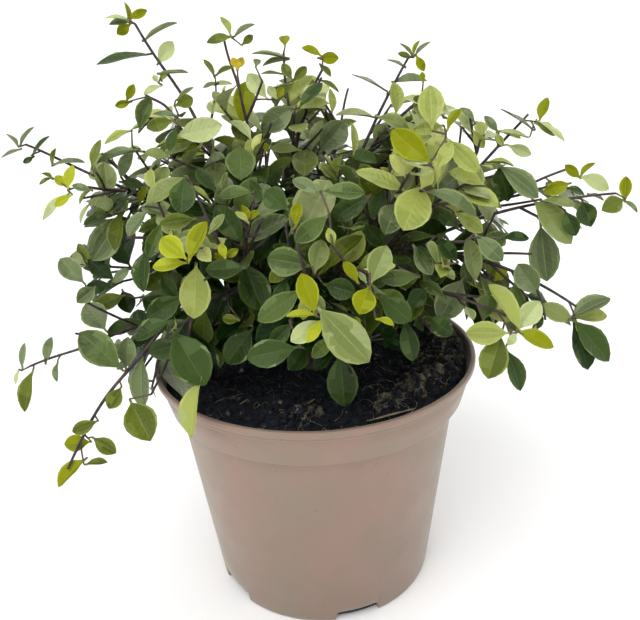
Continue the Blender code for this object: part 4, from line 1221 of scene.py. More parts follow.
def set_seen_leaves(anchors, crown):
    """The seen leaves and the spurs that carry them, each moved in depth until it is clear."""
    draw = np.random.default_rng(SEEN_SEED)
    leaves, spurs = [], []
    for row in SEEN:
        base = np.array([row.base_x, row.base_y], float)
        tip = np.array([row.tip_x, row.tip_y], float)
        path, share, away = anchors.nearest(base)
        if away > SEEN_FARTHEST:
            continue
        start = path.at(share)
        middle_depth = in_picture(start)[0, 2]
        lines = draw.uniform(0, 1, 8)
        best = None
        for push in SEEN_PUSHES:
            depth = middle_depth + push * MM
            spot, end = picture_point(base, depth), picture_point(tip, depth)
            leaf = seen_leaf(row, spot, end, depth, lines)
            points, tree = leaf_proxy(leaf)
            if crown.over_pot(points) and not crown.meets(tree, points[PROXY_MIDDLE],
                                                          leaf.length + 20 * MM):
                cost = crown.in_the_way(points) + SEEN_PUSH_COST * abs(push)
                if best is None or cost < best[0]:
                    best = (cost, leaf, points, tree)
        if best is None:
            continue
        cost, leaf, points, tree = best
        if np.linalg.norm(leaf.root - start) > SPUR_SHORTEST:
            spur = spur_path(start, leaf.root, path.direction(share))
            spurs.append(spur)
            anchors.add(spur, 0.5)
        crown.add_leaf(tree, points[PROXY_MIDDLE])
        crown.keep_in_view(base, tip, row.width, in_picture(points)[PROXY_MIDDLE, 2])
        leaves.append(leaf)
    return leaves, spurs


def leaf_length(from_tip):
    """Length of a leaf by its distance from the shoot's tip: a smooth step to full size."""
    share = smooth_step(min(1.0, from_tip / GROWN_AFTER))
    return YOUNGEST_LEAF + (OLDEST_LEAF - YOUNGEST_LEAF) * share


def leaf_stations(path, first, is_twig, draw):
    """Places for leaves on a stem or twig: (share, turn, length, age, in the tip's rosette)."""
    stations = []
    turn = draw.uniform(0, 360)
    flush = draw.uniform() < (0.35 if is_twig else 0.9)
    count = int((path.length - first) / LEAF_SPACING)
    for k in range(count + 1):
        place = first + k * LEAF_SPACING * draw.uniform(0.96, 1.04)
        from_tip = max(0.0, path.length - place)
        size = leaf_length(from_tip + (34 * MM if is_twig else 0)) * draw.uniform(0.85, 1.15)
        age = min(1.0, from_tip / GROWN_AFTER + (0.55 if is_twig else 0.0))
        stations.append((min(1.0, place / path.length), turn, size, age, False))
        turn += SPIRAL
    for k in range((4 if flush else 3) if is_twig else 5):
        share = 1 - k * ROSETTE_SPACING / path.length
        size = (YOUNGEST_LEAF if flush else 1.6 * YOUNGEST_LEAF) * draw.uniform(0.85, 1.35)
        age = (0.05 + 0.07 * k) if flush else 0.5
        stations.append((share, turn, size * (1 + 0.12 * k), age, True))
        turn += SPIRAL
    return stations


# Wood


def tube_grid(path, sides, relief):
    """Rings of points along a path, as (ring, side): the radius times one plus the relief."""
    tangent = np.gradient(path.points, axis=0)
    tangent /= np.linalg.norm(tangent, axis=1)[:, None]
    level = np.eye(3)[int(np.argmin(np.abs(tangent.mean(axis=0))))]
    side = np.cross(tangent, level)
    side /= np.linalg.norm(side, axis=1)[:, None]
    upper = np.cross(side, tangent)
    turn = np.linspace(0, 2 * math.pi, sides, endpoint=False)
    ring = (np.cos(turn)[None, :, None] * side[:, None, :]
            + np.sin(turn)[None, :, None] * upper[:, None, :])
    radius = path.radii[:, None] * (1 + relief(path.along[:, None], turn[None, :]))
    return path.points[:, None, :] + radius[..., None] * ring


def tube_mesh(name, paths, sides, relief_of):
    """One joined mesh of tubes with closed ends, one for each path."""
    return joined_tubes(name, [tube_grid(path, sides, relief_of(number, path))
                               for number, path in enumerate(paths)])


def bark_relief(number, path):
    """Bark: lengthwise ridges that drift round the limb, and a swelling at each leaf scar."""
    draw = np.random.default_rng(900 + number)
    phase = draw.uniform(0, 6.28, 4)
    deep = 0.07 if path.radii[0] > 1.2 * MM else 0.04

    def relief(along, turn):
        """Three sines for the ridges, and a bell curve round each scar's place and side."""
        ridges = (np.sin(5 * turn + 160 * along + phase[0])
                  + 0.7 * np.sin(9 * turn - 260 * along + phase[1])
                  + 0.6 * np.sin(2 * turn + 900 * along + phase[2]))
        node = along / (9 * MM)
        scar = np.exp(-((node - np.round(node)) / 0.10) ** 2)
        facing = 0.5 + 0.5 * np.cos(turn - math.radians(SPIRAL) * np.round(node) + phase[3])
        return deep * ridges / 2 + 0.10 * scar * (0.2 + 0.8 * facing)

    return relief


# Materials


class Finish:
    """A Principled material in one colour, and the patterns that vary it."""

    def __init__(self, name, colour, roughness, specular=0.5):
        self.made = bpy.data.materials.new(name)
        self.made.use_nodes = True
        self.nodes = self.made.node_tree.nodes
        self.shader = self.nodes["Principled BSDF"]
        self.give(self.shader, {"Base Color": colour, "Roughness": roughness,
                                "Specular IOR Level": specular})

    def give(self, node, inputs):
        """Set or link a node's inputs."""
        for key, value in inputs.items():
            if isinstance(value, bpy.types.NodeSocket):
                self.made.node_tree.links.new(value, node.inputs[key])
            else:
                node.inputs[key].default_value = value

    def add(self, kind, output, inputs, **settings):
        """The output of a new node of this kind, with its inputs and its settings."""
        node = self.nodes.new(kind)
        for name, value in settings.items():
            setattr(node, name, value)
        self.give(node, inputs)
        return node.outputs[output]

    def place(self):
        """A point's Object coordinates."""
        return self.add("ShaderNodeTexCoord", "Object", {})

    def noise(self, scale, detail, stretch=None):
        """A noise pattern on Object coordinates, stretched along the axes if asked."""
        place = self.place()
        if stretch:
            place = self.add("ShaderNodeMapping", "Vector", {"Vector": place, "Scale": stretch})
        return self.add("ShaderNodeTexNoise", "Fac",
                        {"Vector": place, "Scale": scale, "Detail": detail})

    def ramp(self, value, stops):
        """Colours by value, from (place, colour) stops."""
        node = self.nodes.new("ShaderNodeValToRGB")
        elements = node.color_ramp.elements
        while len(elements) < len(stops):
            elements.new(0.5)
        for element, (place, colour) in zip(elements, stops):
            element.position = place
            element.color = srgb(*colour)
        self.give(node, {"Fac": value})
        return node.outputs["Color"]

    def bump(self, height, distance, strength, before=None):
        """Bump from a height value, on top of an earlier bump if there is one."""
        inputs = {"Height": height, "Distance": distance, "Strength": strength}
        if before:
            inputs["Normal"] = before
        normal = self.add("ShaderNodeBump", "Normal", inputs)
        self.give(self.shader, {"Normal": normal})
        return normal

    def maths(self, operation, *values):
        """One step of arithmetic on values and numbers."""
        return self.add("ShaderNodeMath", 0, dict(enumerate(values)), operation=operation)

    def map_range(self, value, *span):
        """A value carried in proportion from between two numbers to between two others."""
        ends = dict(zip(("From Min", "From Max", "To Min", "To Max"), span))
        return self.add("ShaderNodeMapRange", "Result", {"Value": value, **ends})


def grainy_material(name, base, roughness, stops, grain, relief):
    """Colours that follow one noise, and a bump that follows a finer one.

    Grain is the first noise's scale and detail, relief the second's with depth and strength.
    """
    finish = Finish(name, srgb(*base), roughness)
    finish.give(finish.shader, {"Base Color": finish.ramp(finish.noise(*grain), stops)})
    finish.bump(finish.noise(*relief[:2]), *relief[2:])
    return finish.made


def soil_material(name):
    """Damp crumbly soil: dark, brown and paler grains by noise, rough with moist glints."""
    low, middle, high = SOIL_TONES[name]
    return grainy_material(name, middle, 0.85, [(0.34, low), (0.52, middle), (0.70, high)],
                           (260.0, 6.0), (700.0, 6.0, 0.9 * MM, 0.9))


def bark_material(name):
    """Thin bark: purplish brown with greyer streaks along noise, and a rough fine grain."""
    dark, light, roughness = BARK_TONES[name]
    return grainy_material(name, dark, roughness, [(0.38, dark), (0.66, light)],
                           (240.0, 4.0), (1100.0, 4.0, 0.25 * MM, 0.7))


def pot_material():
    """Dusty taupe plastic: broad pinkish and greyish patches, fine pits, faint scuffs, and painted
    shade, darker towards the foot.
    """
    finish = Finish("pot_plastic", srgb(149, 127, 111), 0.5)
    patches = finish.ramp(finish.noise(34.0, 3.0, (1.0, 1.0, 0.8)), POT_TONES)
    height = finish.add("ShaderNodeSeparateXYZ", "Z", {"Vector": finish.place()})
    # shade: painted shade that darkens the wall towards the foot, times faint dark scuffs
    shade = finish.maths("MULTIPLY", finish.map_range(height, 10 * MM, 100 * MM, 0.82, 1.0),
                         finish.map_range(finish.noise(360.0, 1.0), 0.70, 0.78, 1.0, 0.84))
    colour = finish.add("ShaderNodeVectorMath", "Vector", {0: patches, "Scale": shade},
                        operation="SCALE")
    gloss = finish.map_range(finish.noise(60.0, 5.0), 0.3, 0.7, 0.42, 0.58)
    finish.give(finish.shader, {
        "Base Color": colour, "Roughness": gloss, "Sheen Weight": 0.24,
        "Sheen Roughness": 0.42, "Sheen Tint": (0.86, 1.0, 0.90, 1.0)})
    pits = finish.bump(finish.noise(900.0, 3.0), 0.08 * MM, 0.35)
    finish.bump(finish.noise(26.0, 2.0), 0.8 * MM, 0.10, pits)
    return finish.made


def leaf_vein_height(finish):
    """Side veins as a height: bands that run from the rib forward to the margin.

    A band's place is the distance along the leaf less a share of the distance from the rib.
    """
    place = finish.add("ShaderNodeUVMap", "UV", {}, uv_map="UVMap")
    over, along = (finish.add("ShaderNodeSeparateXYZ", axis, {"Vector": place}) for axis in "XY")
    from_rib = finish.maths("ABSOLUTE", finish.maths("SUBTRACT", over, 0.5))
    band = finish.maths("SUBTRACT", along, finish.maths("MULTIPLY", from_rib, 0.42))
    return finish.maths("SINE", finish.maths("MULTIPLY", band, 52.0))


def leaf_material(name, tone, roughness, veins, shine):
    """Leathery blade in one plain colour, with raised cells, side veins and a satin gloss."""
    finish = Finish(name, srgb(*tone), roughness, shine)
    uneven = finish.bump(finish.noise(105.0, 2.0), 2.6 * MM, 0.8)
    cells = finish.bump(finish.noise(520.0, 4.0), 0.5 * MM, 0.6, uneven)
    finish.bump(leaf_vein_height(finish), 0.22 * MM, veins, cells)
    return finish.made


def leaf_finishes(shade):
    """The finishes of one shade's blades, ribs, undersides, margins, mottles and painted
    highlights: margins are partly painted highlight, mottles partly painted shade.
    """
    own = np.array(SHADES[shade])
    brightest = own.max()

    def towards(tone, share):
        """The shade's own tone, this share of the way to another."""
        return (1 - share) * own + share * np.array(tone)

    # Darker zones: partly the leaf's own mottling, partly painted shade of its fold
    mottle_and_painted_shade = 0.83 if brightest < 125 else 0.90
    shine = float(np.interp(own.min(), [0, 30, 110], [0.06, 0.16, 0.42]))
    finishes = (
        ("leaf", own, 0.33, 0.2, shine),
        ("rib", towards(RIB_TONE, 0.12 if brightest < 100 else 0.17), 0.45, 0.05, shine),
        ("underside", towards(UNDER_TONE, 0.55), 0.6, 0.3, 0.3),
        # Margin: partly the leaf's own pale edge, partly a painted highlight on lit edges
        ("margin", towards(MARGIN_TONE, 0.10 if brightest < 90 else 0.22), 0.33, 0.2, shine),
        ("mottle_and_painted_shade", own * (mottle_and_painted_shade, mottle_and_painted_shade + 0.02, mottle_and_painted_shade - 0.03), 0.30, 0.2, shine),
        # Gleam: a painted highlight
        ("painted_highlight", towards(PAINTED_HIGHLIGHT_TONE, 0.14 if brightest < 125 else 0.11), 0.28, 0.2, shine))
    return [leaf_material(f"{part}_{shade}", *rest) for part, *rest in finishes]


# Stage


def make_floor():
    """A plain pale floor that rises as a sweep by a square."""
    radii = np.array([0.5, 2.0, 4.0, 5.0, 6.0, 8.0, 10.0, 12.0, 14.0, 15.6])[:, None]
    turn = np.linspace(0, 2 * math.pi, 72, endpoint=False)
    grid = polar(radii, turn, 0.5 * np.clip(radii - 4, 0, None) ** 2 / 8)
    faces, index = ring_faces(*grid.shape[:2], flipped=True)
    faces.append(tuple(index[0].tolist()))
    floor = mesh_object("floor", grid.reshape(-1, 3), faces)
    floor.data.materials.append(Finish("floor_paper", (0.94, 0.94, 0.94, 1), 0.9, 0.1).made)


def make_light():
    """Soft light from all round, one wide light from the front and one from the back."""
    world = bpy.data.worlds.new("studio")
    bpy.context.scene.world = world
    world.use_nodes = True
    background = world.node_tree.nodes["Background"]
    background.inputs["Color"].default_value = (1, 1, 1, 1)
    background.inputs["Strength"].default_value = 0.72
    for name, place, strength, spread in (("key_light", (-0.40, -0.70, 1.15), 1.6, 50),
                                          ("back_light", (0.6, 0.8, 1.0), 0.7, 70)):
        lamp = bpy.data.lights.new(name, "SUN")
        lamp.angle = math.radians(spread)
        lamp.energy = strength
        light = bpy.data.objects.new(name, lamp)
        bpy.context.scene.collection.objects.link(light)
        light.rotation_euler = Vector(place).to_track_quat("Z", "Y").to_euler()
    settings = bpy.context.scene.view_settings
    settings.view_transform = "Standard"
    settings.look = "None"


# Crown


def wood_tree(paths):
    """A coarse three-sided copy of the wood, for finding what would cut it."""
    corners, quads = [], []
    for path in paths:
        grid = tube_grid(path.part(0, 1, 5 * MM), 3, lambda along, turn: 0 * along * turn)
        quads += ring_faces(len(grid), 3, len(corners))[0]
        corners += grid.reshape(-1, 3).tolist()
    return BVHTree.FromPolygons(corners, quads)


def grow_crown(paths, forks):
    """All twigs and leaves: (leaves, trunk and boughs, stems and twigs, spurs)."""
    stems, boughs, owners = {}, {}, {}
    for limb in LIMBS:
        name, path = limb.name, paths[limb.name]
        stems[name] = [path.part(limb.bare, 1, 2 * MM)] + forks[name]
        boughs[name] = path.part(0, limb.bare, 2 * MM) if limb.bare > 0 else None
        owners[name] = stems[name] + ([boughs[name].part(0.4, 1, 2 * MM)]
                                      if boughs[name] else [])
    crown = Crown(owners)
    twigs, draws = {}, {}
    for number, name in enumerate(stems):
        draws[name] = np.random.default_rng(MASS_SEED + number)
        twigs[name] = make_twigs(name, stems[name], boughs[name], crown, draws[name])
    bare_wood = [paths["trunk"]] + [path for path in boughs.values() if path]
    leafy_wood = [path for group in (stems, twigs) for rows in group.values() for path in rows]
    crown.wood = wood_tree(bare_wood + leafy_wood)
    anchors = Anchors()
    for path in leafy_wood:
        anchors.add(path)
    for path in bare_wood[1:]:
        anchors.add(path, 0.5)
    dry = fallen_leaf()
    points, tree = leaf_proxy(dry)
    crown.add_leaf(tree, points[PROXY_MIDDLE])
    leaves, spurs = set_seen_leaves(anchors, crown)
    leaves.append(dry)
    crown.keep_in_view(np.array(DRY_LEAF_TOP, float), np.array(DRY_LEAF_FOOT, float),
                       DRY_LEAF_WIDTH, in_picture(points)[PROXY_MIDDLE, 2])
    for name, draw in draws.items():
        plan = [(path, 2 * MM, False) for path in stems[name]]
        if boughs[name]:
            plan.append((boughs[name], 0.45 * boughs[name].length, False))
        plan += [(path, 4 * MM, True) for path in twigs[name]]
        for path, first, is_twig in plan:
            stations = leaf_stations(path, first, is_twig, draw)
            if path is boughs[name]:
                stations = [row[:2] + (OLDEST_LEAF * draw.uniform(0.8, 1.05), 1.0, False)
                            for row in stations if not row[4]]
            for share, turn, size, age, rosette in stations:
                leaf = grow_leaf(path, share, turn, size, name, crown, draw, age, rosette)
                if leaf:
                    leaves.append(leaf)
    return leaves, bare_wood, leafy_wood, spurs


def fallen_leaf():
    """The dry pale leaf that leans from the lip at the left down to the soil."""
    rim = LIP_RADIUS - LIP_WALL - DRY_LEAF_INSET
    start = np.array([rim * math.cos(DRY_LEAF_BEARING), rim * math.sin(DRY_LEAF_BEARING),
                      POT_HEIGHT + DRY_LEAF_RISE])
    end = on_soil(DRY_LEAF_FOOT, DRY_LEAF_LIFT)
    length = np.linalg.norm(end - start)
    heading = unit(end - start)
    facing = UP - 0.5 * unit(start * [1, 1, 0]) + 0.7 * unit(CAMERA_PLACE - start)
    root = start - LEAF_STALK_SHARE * length * heading
    return Leaf(root, heading, facing, length, 0.52, 0.42, 0.12, 0.02, 1.0, -0.2, "dry")


# Pot


def lattice_noise(points, size, seed):
    """Smooth noise of 0 to 1: random values on a lattice of this size, blended by smooth steps."""
    place = np.asarray(points) / size
    cell = np.floor(place).astype(np.int64)
    part = place - cell
    part = smooth_step(part)
    total = np.zeros(len(place))
    dimensions = place.shape[1]
    for number in range(2 ** dimensions):
        corner = np.array([(number >> k) & 1 for k in range(dimensions)])
        key = (cell + corner) @ np.array([73856093, 19349663, 83492791][:dimensions])
        key = (key + seed * 2654435761) & 0xFFFFFFFF
        key = ((key ^ (key >> 15)) * 2246822519) & 0xFFFFFFFF
        key = ((key ^ (key >> 13)) * 3266489917) & 0xFFFFFFFF
        value = ((key ^ (key >> 16)) & 0xFFFF) / 65535
        total += value * np.prod(np.where(corner, part, 1 - part), axis=1)
    return total


def inner_radius(height):
    """Inside radius of the pot at this height, straight between the corners of its section."""
    collar_foot = POT_HEIGHT - COLLAR_HEIGHT
    heights = [POT_FLOOR, collar_foot - POT_WALL, collar_foot + POT_WALL, POT_HEIGHT - LIP_DEPTH]
    radii = [BASE_RADIUS - POT_WALL, WALL_TOP_RADIUS - POT_WALL, COLLAR_FOOT_RADIUS - POT_WALL,
             LIP_RADIUS - LIP_WALL]
    return np.interp(height, heights, radii)


def pot_section():
    """(radius, height) of the pot's section from the middle of its floor round to its underside.

    Straight runs are cut into short steps, and the lip, the lines under it and the foot of the
    collar have points of their own.
    """
    collar_foot = POT_HEIGHT - COLLAR_HEIGHT

    def collar(height, inset=0.0):
        """The collar's outside at this height: straight from its foot to the lip."""
        share = (height - collar_foot) / COLLAR_HEIGHT
        return (COLLAR_FOOT_RADIUS + share * (LIP_RADIUS - COLLAR_TOP_INSET - COLLAR_FOOT_RADIUS)
                - inset, height)

    def profile(rows, radius, height):
        """Offsets in mm as points from this radius and height."""
        return [(radius + out * MM, height + up * MM) for out, up in rows]

    corners = [(0, POT_FLOOR), (BASE_RADIUS - NOTCH_DEPTH, POT_FLOOR)]
    corners += [(inner_radius(height), height)
                for height in (POT_FLOOR, collar_foot - POT_WALL, collar_foot + POT_WALL)]
    corners += profile(LIP_PROFILE, LIP_RADIUS, POT_HEIGHT)
    corners.append(collar(POT_HEIGHT - LIP_DEPTH - 0.3 * MM))
    for line in COLLAR_LINES:
        corners += [collar(POT_HEIGHT - line + COLLAR_LINE_HALF),
                    collar(POT_HEIGHT - line, COLLAR_LINE_DEPTH),
                    collar(POT_HEIGHT - line - COLLAR_LINE_HALF)]
    corners += profile(COLLAR_PROFILE, COLLAR_FOOT_RADIUS, collar_foot)
    corners += profile(WALL_TOP_PROFILE, WALL_TOP_RADIUS, collar_foot)
    corners += profile(FOOT_PROFILE, BASE_RADIUS, 0) + [(0, 0)]
    section = [corners[0]]
    for (r0, z0), (r1, z1) in zip(corners, corners[1:]):
        steps = max(1, int(math.hypot(r1 - r0, z1 - z0) / SECTION_STEP))
        section += [(r0 + (r1 - r0) * k / steps, z0 + (z1 - z0) * k / steps)
                    for k in range(1, steps + 1)]
    return np.array(section)


def notch_rise(bearing):
    """How far the foot of the wall is raised at a bearing: a slot with rounded corners."""
    step = 2 * math.pi / NOTCH_COUNT
    off = (bearing - math.radians(NOTCH_BEARING) + step / 2) % step - step / 2
    inside = np.clip((NOTCH_WIDTH / 2 - np.abs(off) * BASE_RADIUS) / NOTCH_ROUND, 0, 1)
    return NOTCH_HEIGHT * np.sqrt(1 - (1 - inside) ** 2) * (inside > 0)


def pot_mesh():
    """The pot's section carried round, its foot lifted at the notches.

    A low height is squeezed into what the notch leaves of it, and the floor over a notch rises
    with it.
    """
    section = pot_section()
    step = 2 * math.pi / NOTCH_COUNT
    half = NOTCH_WIDTH / 2 / BASE_RADIUS
    one = np.concatenate([np.linspace(-step / 2, -half - 0.004, 16, endpoint=False),
                          -half + NOTCH_EDGE, np.linspace(-half + 0.055, half - 0.055, 8),
                          half - NOTCH_EDGE[::-1],
                          np.linspace(half + 0.004, step / 2, 16, endpoint=False)])
    bearing = np.concatenate([one + math.radians(NOTCH_BEARING) + k * step
                              for k in range(NOTCH_COUNT)])
    radius, height = section[:, 0][:, None], section[:, 1][:, None]
    rise = notch_rise(bearing)[None, :]
    outside = np.arange(len(section))[:, None] > len(section) // 2
    squeezed = rise + height * (NOTCH_REACH - rise) / NOTCH_REACH
    moved = (height < NOTCH_REACH) & (radius > BASE_RADIUS - NOTCH_DEPTH - 0.1 * MM)
    heights = np.where(outside & moved, squeezed, height + 0 * rise)
    heights = np.where(~outside & moved, height + rise, heights)
    bow = POT_BOW * np.sin(2 * bearing[None, :] + 1.0) * (height / POT_HEIGHT)
    radii = radius + bow * (radius > 0.03)
    points = np.stack([radii * np.sin(bearing), -radii * np.cos(bearing), heights], axis=-1)
    grid = points[1:-1].reshape(-1, 3)
    faces, index = ring_faces(len(section) - 2, len(bearing))
    faces += fan(len(grid), index[0], flipped=True) + fan(len(grid) + 1, index[-1])
    return mesh_object("nursery_pot", np.concatenate([grid, [[0, 0, POT_FLOOR], [0, 0, 0]]]),
                       faces)


# Soil


def on_soil(pixel, lift):
    """The point this far over the soil's level that is seen at this place of the picture."""
    ray = picture_point(pixel, 1.0) - CAMERA_PLACE
    return CAMERA_PLACE + (SOIL_TOP + lift - CAMERA_PLACE[2]) / ray[2] * ray


def near_clods(x, y):
    """How near places are to the clods, 0 to 1: a bell curve round each."""
    near = np.zeros_like(x)
    for pixel, spread, _ in CLODS:
        middle = on_soil(pixel, 0)
        away = (x - middle[0]) ** 2 + (y - middle[1]) ** 2
        near = np.maximum(near, np.exp(-away / (3 * spread ** 2)))
    return near


def soil_height(x, y):
    """Height of the soil: lumps of four sizes of noise, with low ground between the crumbs.

    It rises in a bank towards the wall, by a square, most of all at the right.
    """
    place = np.stack([x, y], axis=1)
    radius = np.hypot(x, y)
    broad = lattice_noise(place, 22 * MM, 1) - 0.5
    lumps = lattice_noise(place, 8 * MM, 2) - 0.5
    crumbs = np.abs(lattice_noise(place, 3.4 * MM, 3) - 0.5) * 2
    fine = np.abs(lattice_noise(place, 1.5 * MM, 4) - 0.5) * 2
    height = 2.2 * MM * broad + 2.2 * MM * lumps + 1.7 * MM * (0.5 - crumbs)
    height = height + 0.8 * MM * (0.5 - fine)
    near_trunk = np.exp(-(radius / (14 * MM)) ** 2)
    height = height * (1 - 0.6 * near_trunk) + 0.9 * MM * near_trunk
    bank = np.clip((radius - 52 * MM) / (26 * MM), 0, 1) ** 2
    bank = bank * (0.8 + 3.6 * np.clip(np.cos(np.arctan2(y, x) - BANK_BEARING), 0, 1) ** 2) * MM
    return SOIL_TOP + height + bank + 2.0 * MM * near_clods(x, y)


def soil_mesh():
    """The soil's top as a square grid bent to a disc, with sides and an underside.

    Each square ring of the grid becomes a circle: the angle goes with the place on the side.
    """
    u, v = np.meshgrid(np.linspace(-1, 1, SOIL_GRID), np.linspace(-1, 1, SOIL_GRID))
    wide = np.abs(u) > np.abs(v)
    ring = np.where(wide, u, v)
    other = np.where(wide, v, u)
    angle = np.where(wide, 0, math.pi / 2) + np.where(wide, 1, -1) * math.pi / 4 * (
        other / np.where(ring == 0, 1, ring))
    edge = float(inner_radius(SOIL_TOP)) - 0.4 * MM
    x, y = edge * ring * np.cos(angle), edge * ring * np.sin(angle)
    z = soil_height(x.ravel(), y.ravel()).reshape(x.shape)
    drop = np.clip((np.hypot(x, y) - 0.94 * edge) / (0.06 * edge), 0, 1)
    top = np.stack([x, y, z - 2.0 * MM * drop ** 2], axis=-1).reshape(-1, 3)
    index = np.arange(SOIL_GRID ** 2).reshape(SOIL_GRID, SOIL_GRID)
    faces = as_tuples(np.stack([index[:-1, :-1], index[:-1, 1:], index[1:, 1:], index[1:, :-1]],
                               axis=-1))
    above = np.concatenate([index[0, :-1], index[:-1, -1], index[-1, :0:-1], index[:0:-1, 0]])
    turn = np.arctan2(top[above, 1], top[above, 0])
    points, count = [top], len(top)
    for height in SOIL_RINGS:
        points.append(polar(float(inner_radius(height)) - 0.5 * MM, turn, height))
        below = count + np.arange(len(above))
        faces += as_tuples(np.stack([above, below, np.roll(below, -1), np.roll(above, -1)],
                                    axis=1))
        above = below
        count += len(above)
    points.append(np.array([[0, 0, SOIL_FOOT]]))
    faces += fan(count, above, flipped=True)
    return mesh_object("potting_soil", np.concatenate(points), faces)


def kept_within(x, y, reach):
    """Places over the soil, drawn in along their radius where they are past this reach."""
    share = np.minimum(1, reach / np.hypot(x, y))
    return x * share, y * share


def crumb_ball():
    """A small ball of four rings of latitude and two poles, and its faces."""
    rings, sides = 4, 6
    latitude = np.linspace(0, math.pi, rings + 2)[1:-1, None]
    longitude = np.linspace(0, 2 * math.pi, sides, endpoint=False)
    ball = polar(np.sin(latitude), longitude, np.cos(latitude)).reshape(-1, 3)
    faces, index = ring_faces(rings, sides, flipped=True)
    faces += fan(len(ball), index[0]) + fan(len(ball) + 1, index[-1], flipped=True)
    return np.concatenate([ball, [[0, 0, 1], [0, 0, -1]]]), faces


def crumb_meshes():
    """Crumbs of soil: small balls, each point pushed in or out at random.

    They lie on the soil in three finishes, more and browner where the dry clods are.
    """
    draw = np.random.default_rng(CRUMB_SEED)
    ball, faces = crumb_ball()
    radius = CRUMB_REACH * np.sqrt(draw.uniform(0.03, 1, CRUMB_COUNT))
    angle = draw.uniform(0, 2 * math.pi, CRUMB_COUNT)
    x, y = radius * np.cos(angle), radius * np.sin(angle)
    for pixel, spread, extra in CLODS:
        place = on_soil(pixel, 0)[:2, None] + draw.normal(0, spread, (2, extra))
        place = kept_within(*place, CRUMB_REACH)
        x, y = np.append(x, place[0]), np.append(y, place[1])
    count = len(x)
    near = near_clods(x, y)
    size = draw.uniform(0.40, 1.0, count) ** 2 * (1.7 + 1.3 * near) * MM
    stretch = draw.uniform(0.5, 1.4, (count, 3)) * size[:, None]
    rough = draw.uniform(0.55, 1.35, (count, len(ball), 1))
    shape = ball[None] * rough * stretch[:, None, :]
    spin = draw.uniform(0, 2 * math.pi, count)[:, None]
    turned = np.stack([shape[..., 0] * np.cos(spin) - shape[..., 1] * np.sin(spin),
                       shape[..., 0] * np.sin(spin) + shape[..., 1] * np.cos(spin),
                       shape[..., 2]], axis=-1)
    pile = draw.uniform(0, 1.0, count) * near * MM
    centre = np.stack([x, y, soil_height(x, y) + 0.25 * size + pile], axis=1)
    points = turned + centre[:, None, :]
    lot = draw.uniform(0, 1, count)
    kinds = np.where(lot > 0.993 - 0.12 * near, 2, np.where(lot > 0.955 - 0.59 * near, 1, 0))
    pieces = []
    for number, kind in enumerate(("dark", "brown", "tan")):
        rows = points[kinds == number]
        pieces.append((kind, mesh_object("soil_crumbs_" + kind, rows.reshape(-1, 3),
                                         repeated(faces, len(rows), len(ball)))))
    return pieces


def fibre_mesh():
    """Pale root fibres on the soil: thin tubes along lines that turn by a random walk.

    One in three lies anywhere, and the others are dealt to the clods in turn.
    """
    draw = np.random.default_rng(FIBRE_SEED)
    paths = []
    middles = [(on_soil(pixel, 0)[:2], spread) for pixel, spread, _ in CLODS]
    for number in range(FIBRE_COUNT):
        angle, radius = draw.uniform(0, 2 * math.pi), FIBRE_START * math.sqrt(
            draw.uniform(0.02, 1))
        first = np.array([radius * math.cos(angle), radius * math.sin(angle)])
        if number % 3:
            middle, spread = middles[number % 13 % len(middles)]
            first = middle + draw.normal(0, 0.7 * spread, 2)
        steps = 12
        length = draw.uniform(3, 15) * MM
        bend = (np.cumsum(draw.normal(draw.uniform(-0.45, 0.45), 0.34, steps))
                + draw.uniform(0, 2 * math.pi))
        move = length / steps * np.stack([np.cos(bend), np.sin(bend)], axis=1)
        flat = first + np.cumsum(move, 0)
        x, y = kept_within(flat[:, 0], flat[:, 1], FIBRE_REACH)
        lift = draw.uniform(0.2, 2.2) * MM * np.sin(np.linspace(0.1, math.pi, steps))
        ground = soil_height(x, y)
        height = 0.5 * ground.max() + 0.5 * ground + lift + 1.3 * MM * near_clods(x, y)
        thick = draw.uniform(0.06, 0.15) * MM
        paths.append(Path(np.column_stack([x, y, height]), np.linspace(thick, thick / 2, steps)))
    return tube_mesh("soil_fibres", paths, 5, lambda number, path: (
        lambda along, turn: 0.1 * np.sin(900 * along + 2 * turn)))


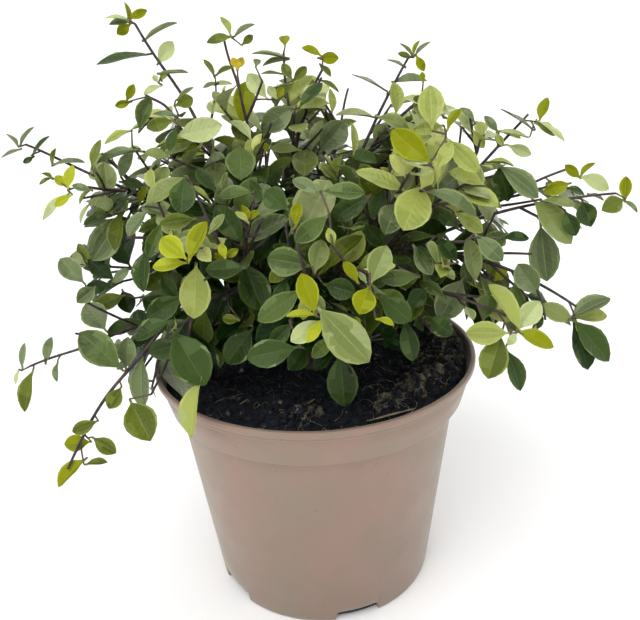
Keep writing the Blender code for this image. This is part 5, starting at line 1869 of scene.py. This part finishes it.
def chip_mesh():
    """Chips of pale wood on the soil: long blocks whose section tapers and wavers to the ends."""
    draw = np.random.default_rng(CHIP_SEED)
    grids = []
    along = np.linspace(0, 1, 9)[:, None]
    turn = np.linspace(0, 2 * math.pi, 6, endpoint=False)[None, :, None]
    for x0, y0, x1, y1, thick in CHIPS:
        start, end = on_soil((x0, y0), 2.6 * MM), on_soil((x1, y1), 2.6 * MM)
        for point in (start, end):
            point[:2] = kept_within(point[0], point[1], CHIP_REACH)
        axis = start + along * (end - start)
        side = unit(np.cross(unit(end - start), UP))
        shrink = (0.35 + 0.65 * np.sin(math.pi * np.clip(along, 0.03, 0.97)) ** 0.5) * thick * MM
        ring = (1.3 * np.cos(turn) * side + 0.55 * np.sin(turn) * UP)
        grids.append(axis[:, None, :]
                     + shrink[:, None] * ring * draw.uniform(0.8, 1.2, (9, 6, 1)))
    return joined_tubes("soil_chips", grids)


# All pieces


def main():
    make_camera()
    make_floor()
    make_light()
    leaves, bare_wood, leafy_wood, spurs = grow_crown(*grow_limbs())

    nodes = frame["nodes"]
    piece(pot_mesh(), "pot_plastic", pot_material(), replaces=["pot"])
    piece(soil_mesh(), "potting_soil", soil_material("potting_soil"), replaces=["soil"])
    for kind, crumbs in crumb_meshes():
        piece(crumbs, "potting_soil", soil_material("crumbs_" + kind))
    piece(fibre_mesh(), "potting_soil", bark_material("fibre_grey"))
    piece(chip_mesh(), "potting_soil", bark_material("fibre_straw"))

    bark = bark_material("bark")
    limbs = [name for name in nodes if name == "trunk" or name.startswith("bough_")]
    masses = [name for name in nodes if name.startswith("foliage_")]
    for name, wood, spacing, sides, finish, replaced in (
            ("trunk_and_boughs", bare_wood, 1.2 * MM, 14, bark, limbs),
            ("stems_and_twigs", leafy_wood, 1.5 * MM, 8, bark, masses),
            ("leafy_spurs", spurs, 1.2 * MM, 7, bark_material("young_bark"), ())):
        rows = [path.part(0, 1, spacing) for path in wood]
        piece(tube_mesh(name, rows, sides, bark_relief), "bark", finish, replaces=replaced)

    for shade in SHADES:
        rows = [leaf for leaf in leaves if leaf.shade == shade]
        if rows:
            slot = "young_leaf" if shade in YOUNG_SHADES else "leaf"
            piece(leaf_mesh("leaves_" + shade, rows), slot, *leaf_finishes(shade))


main()
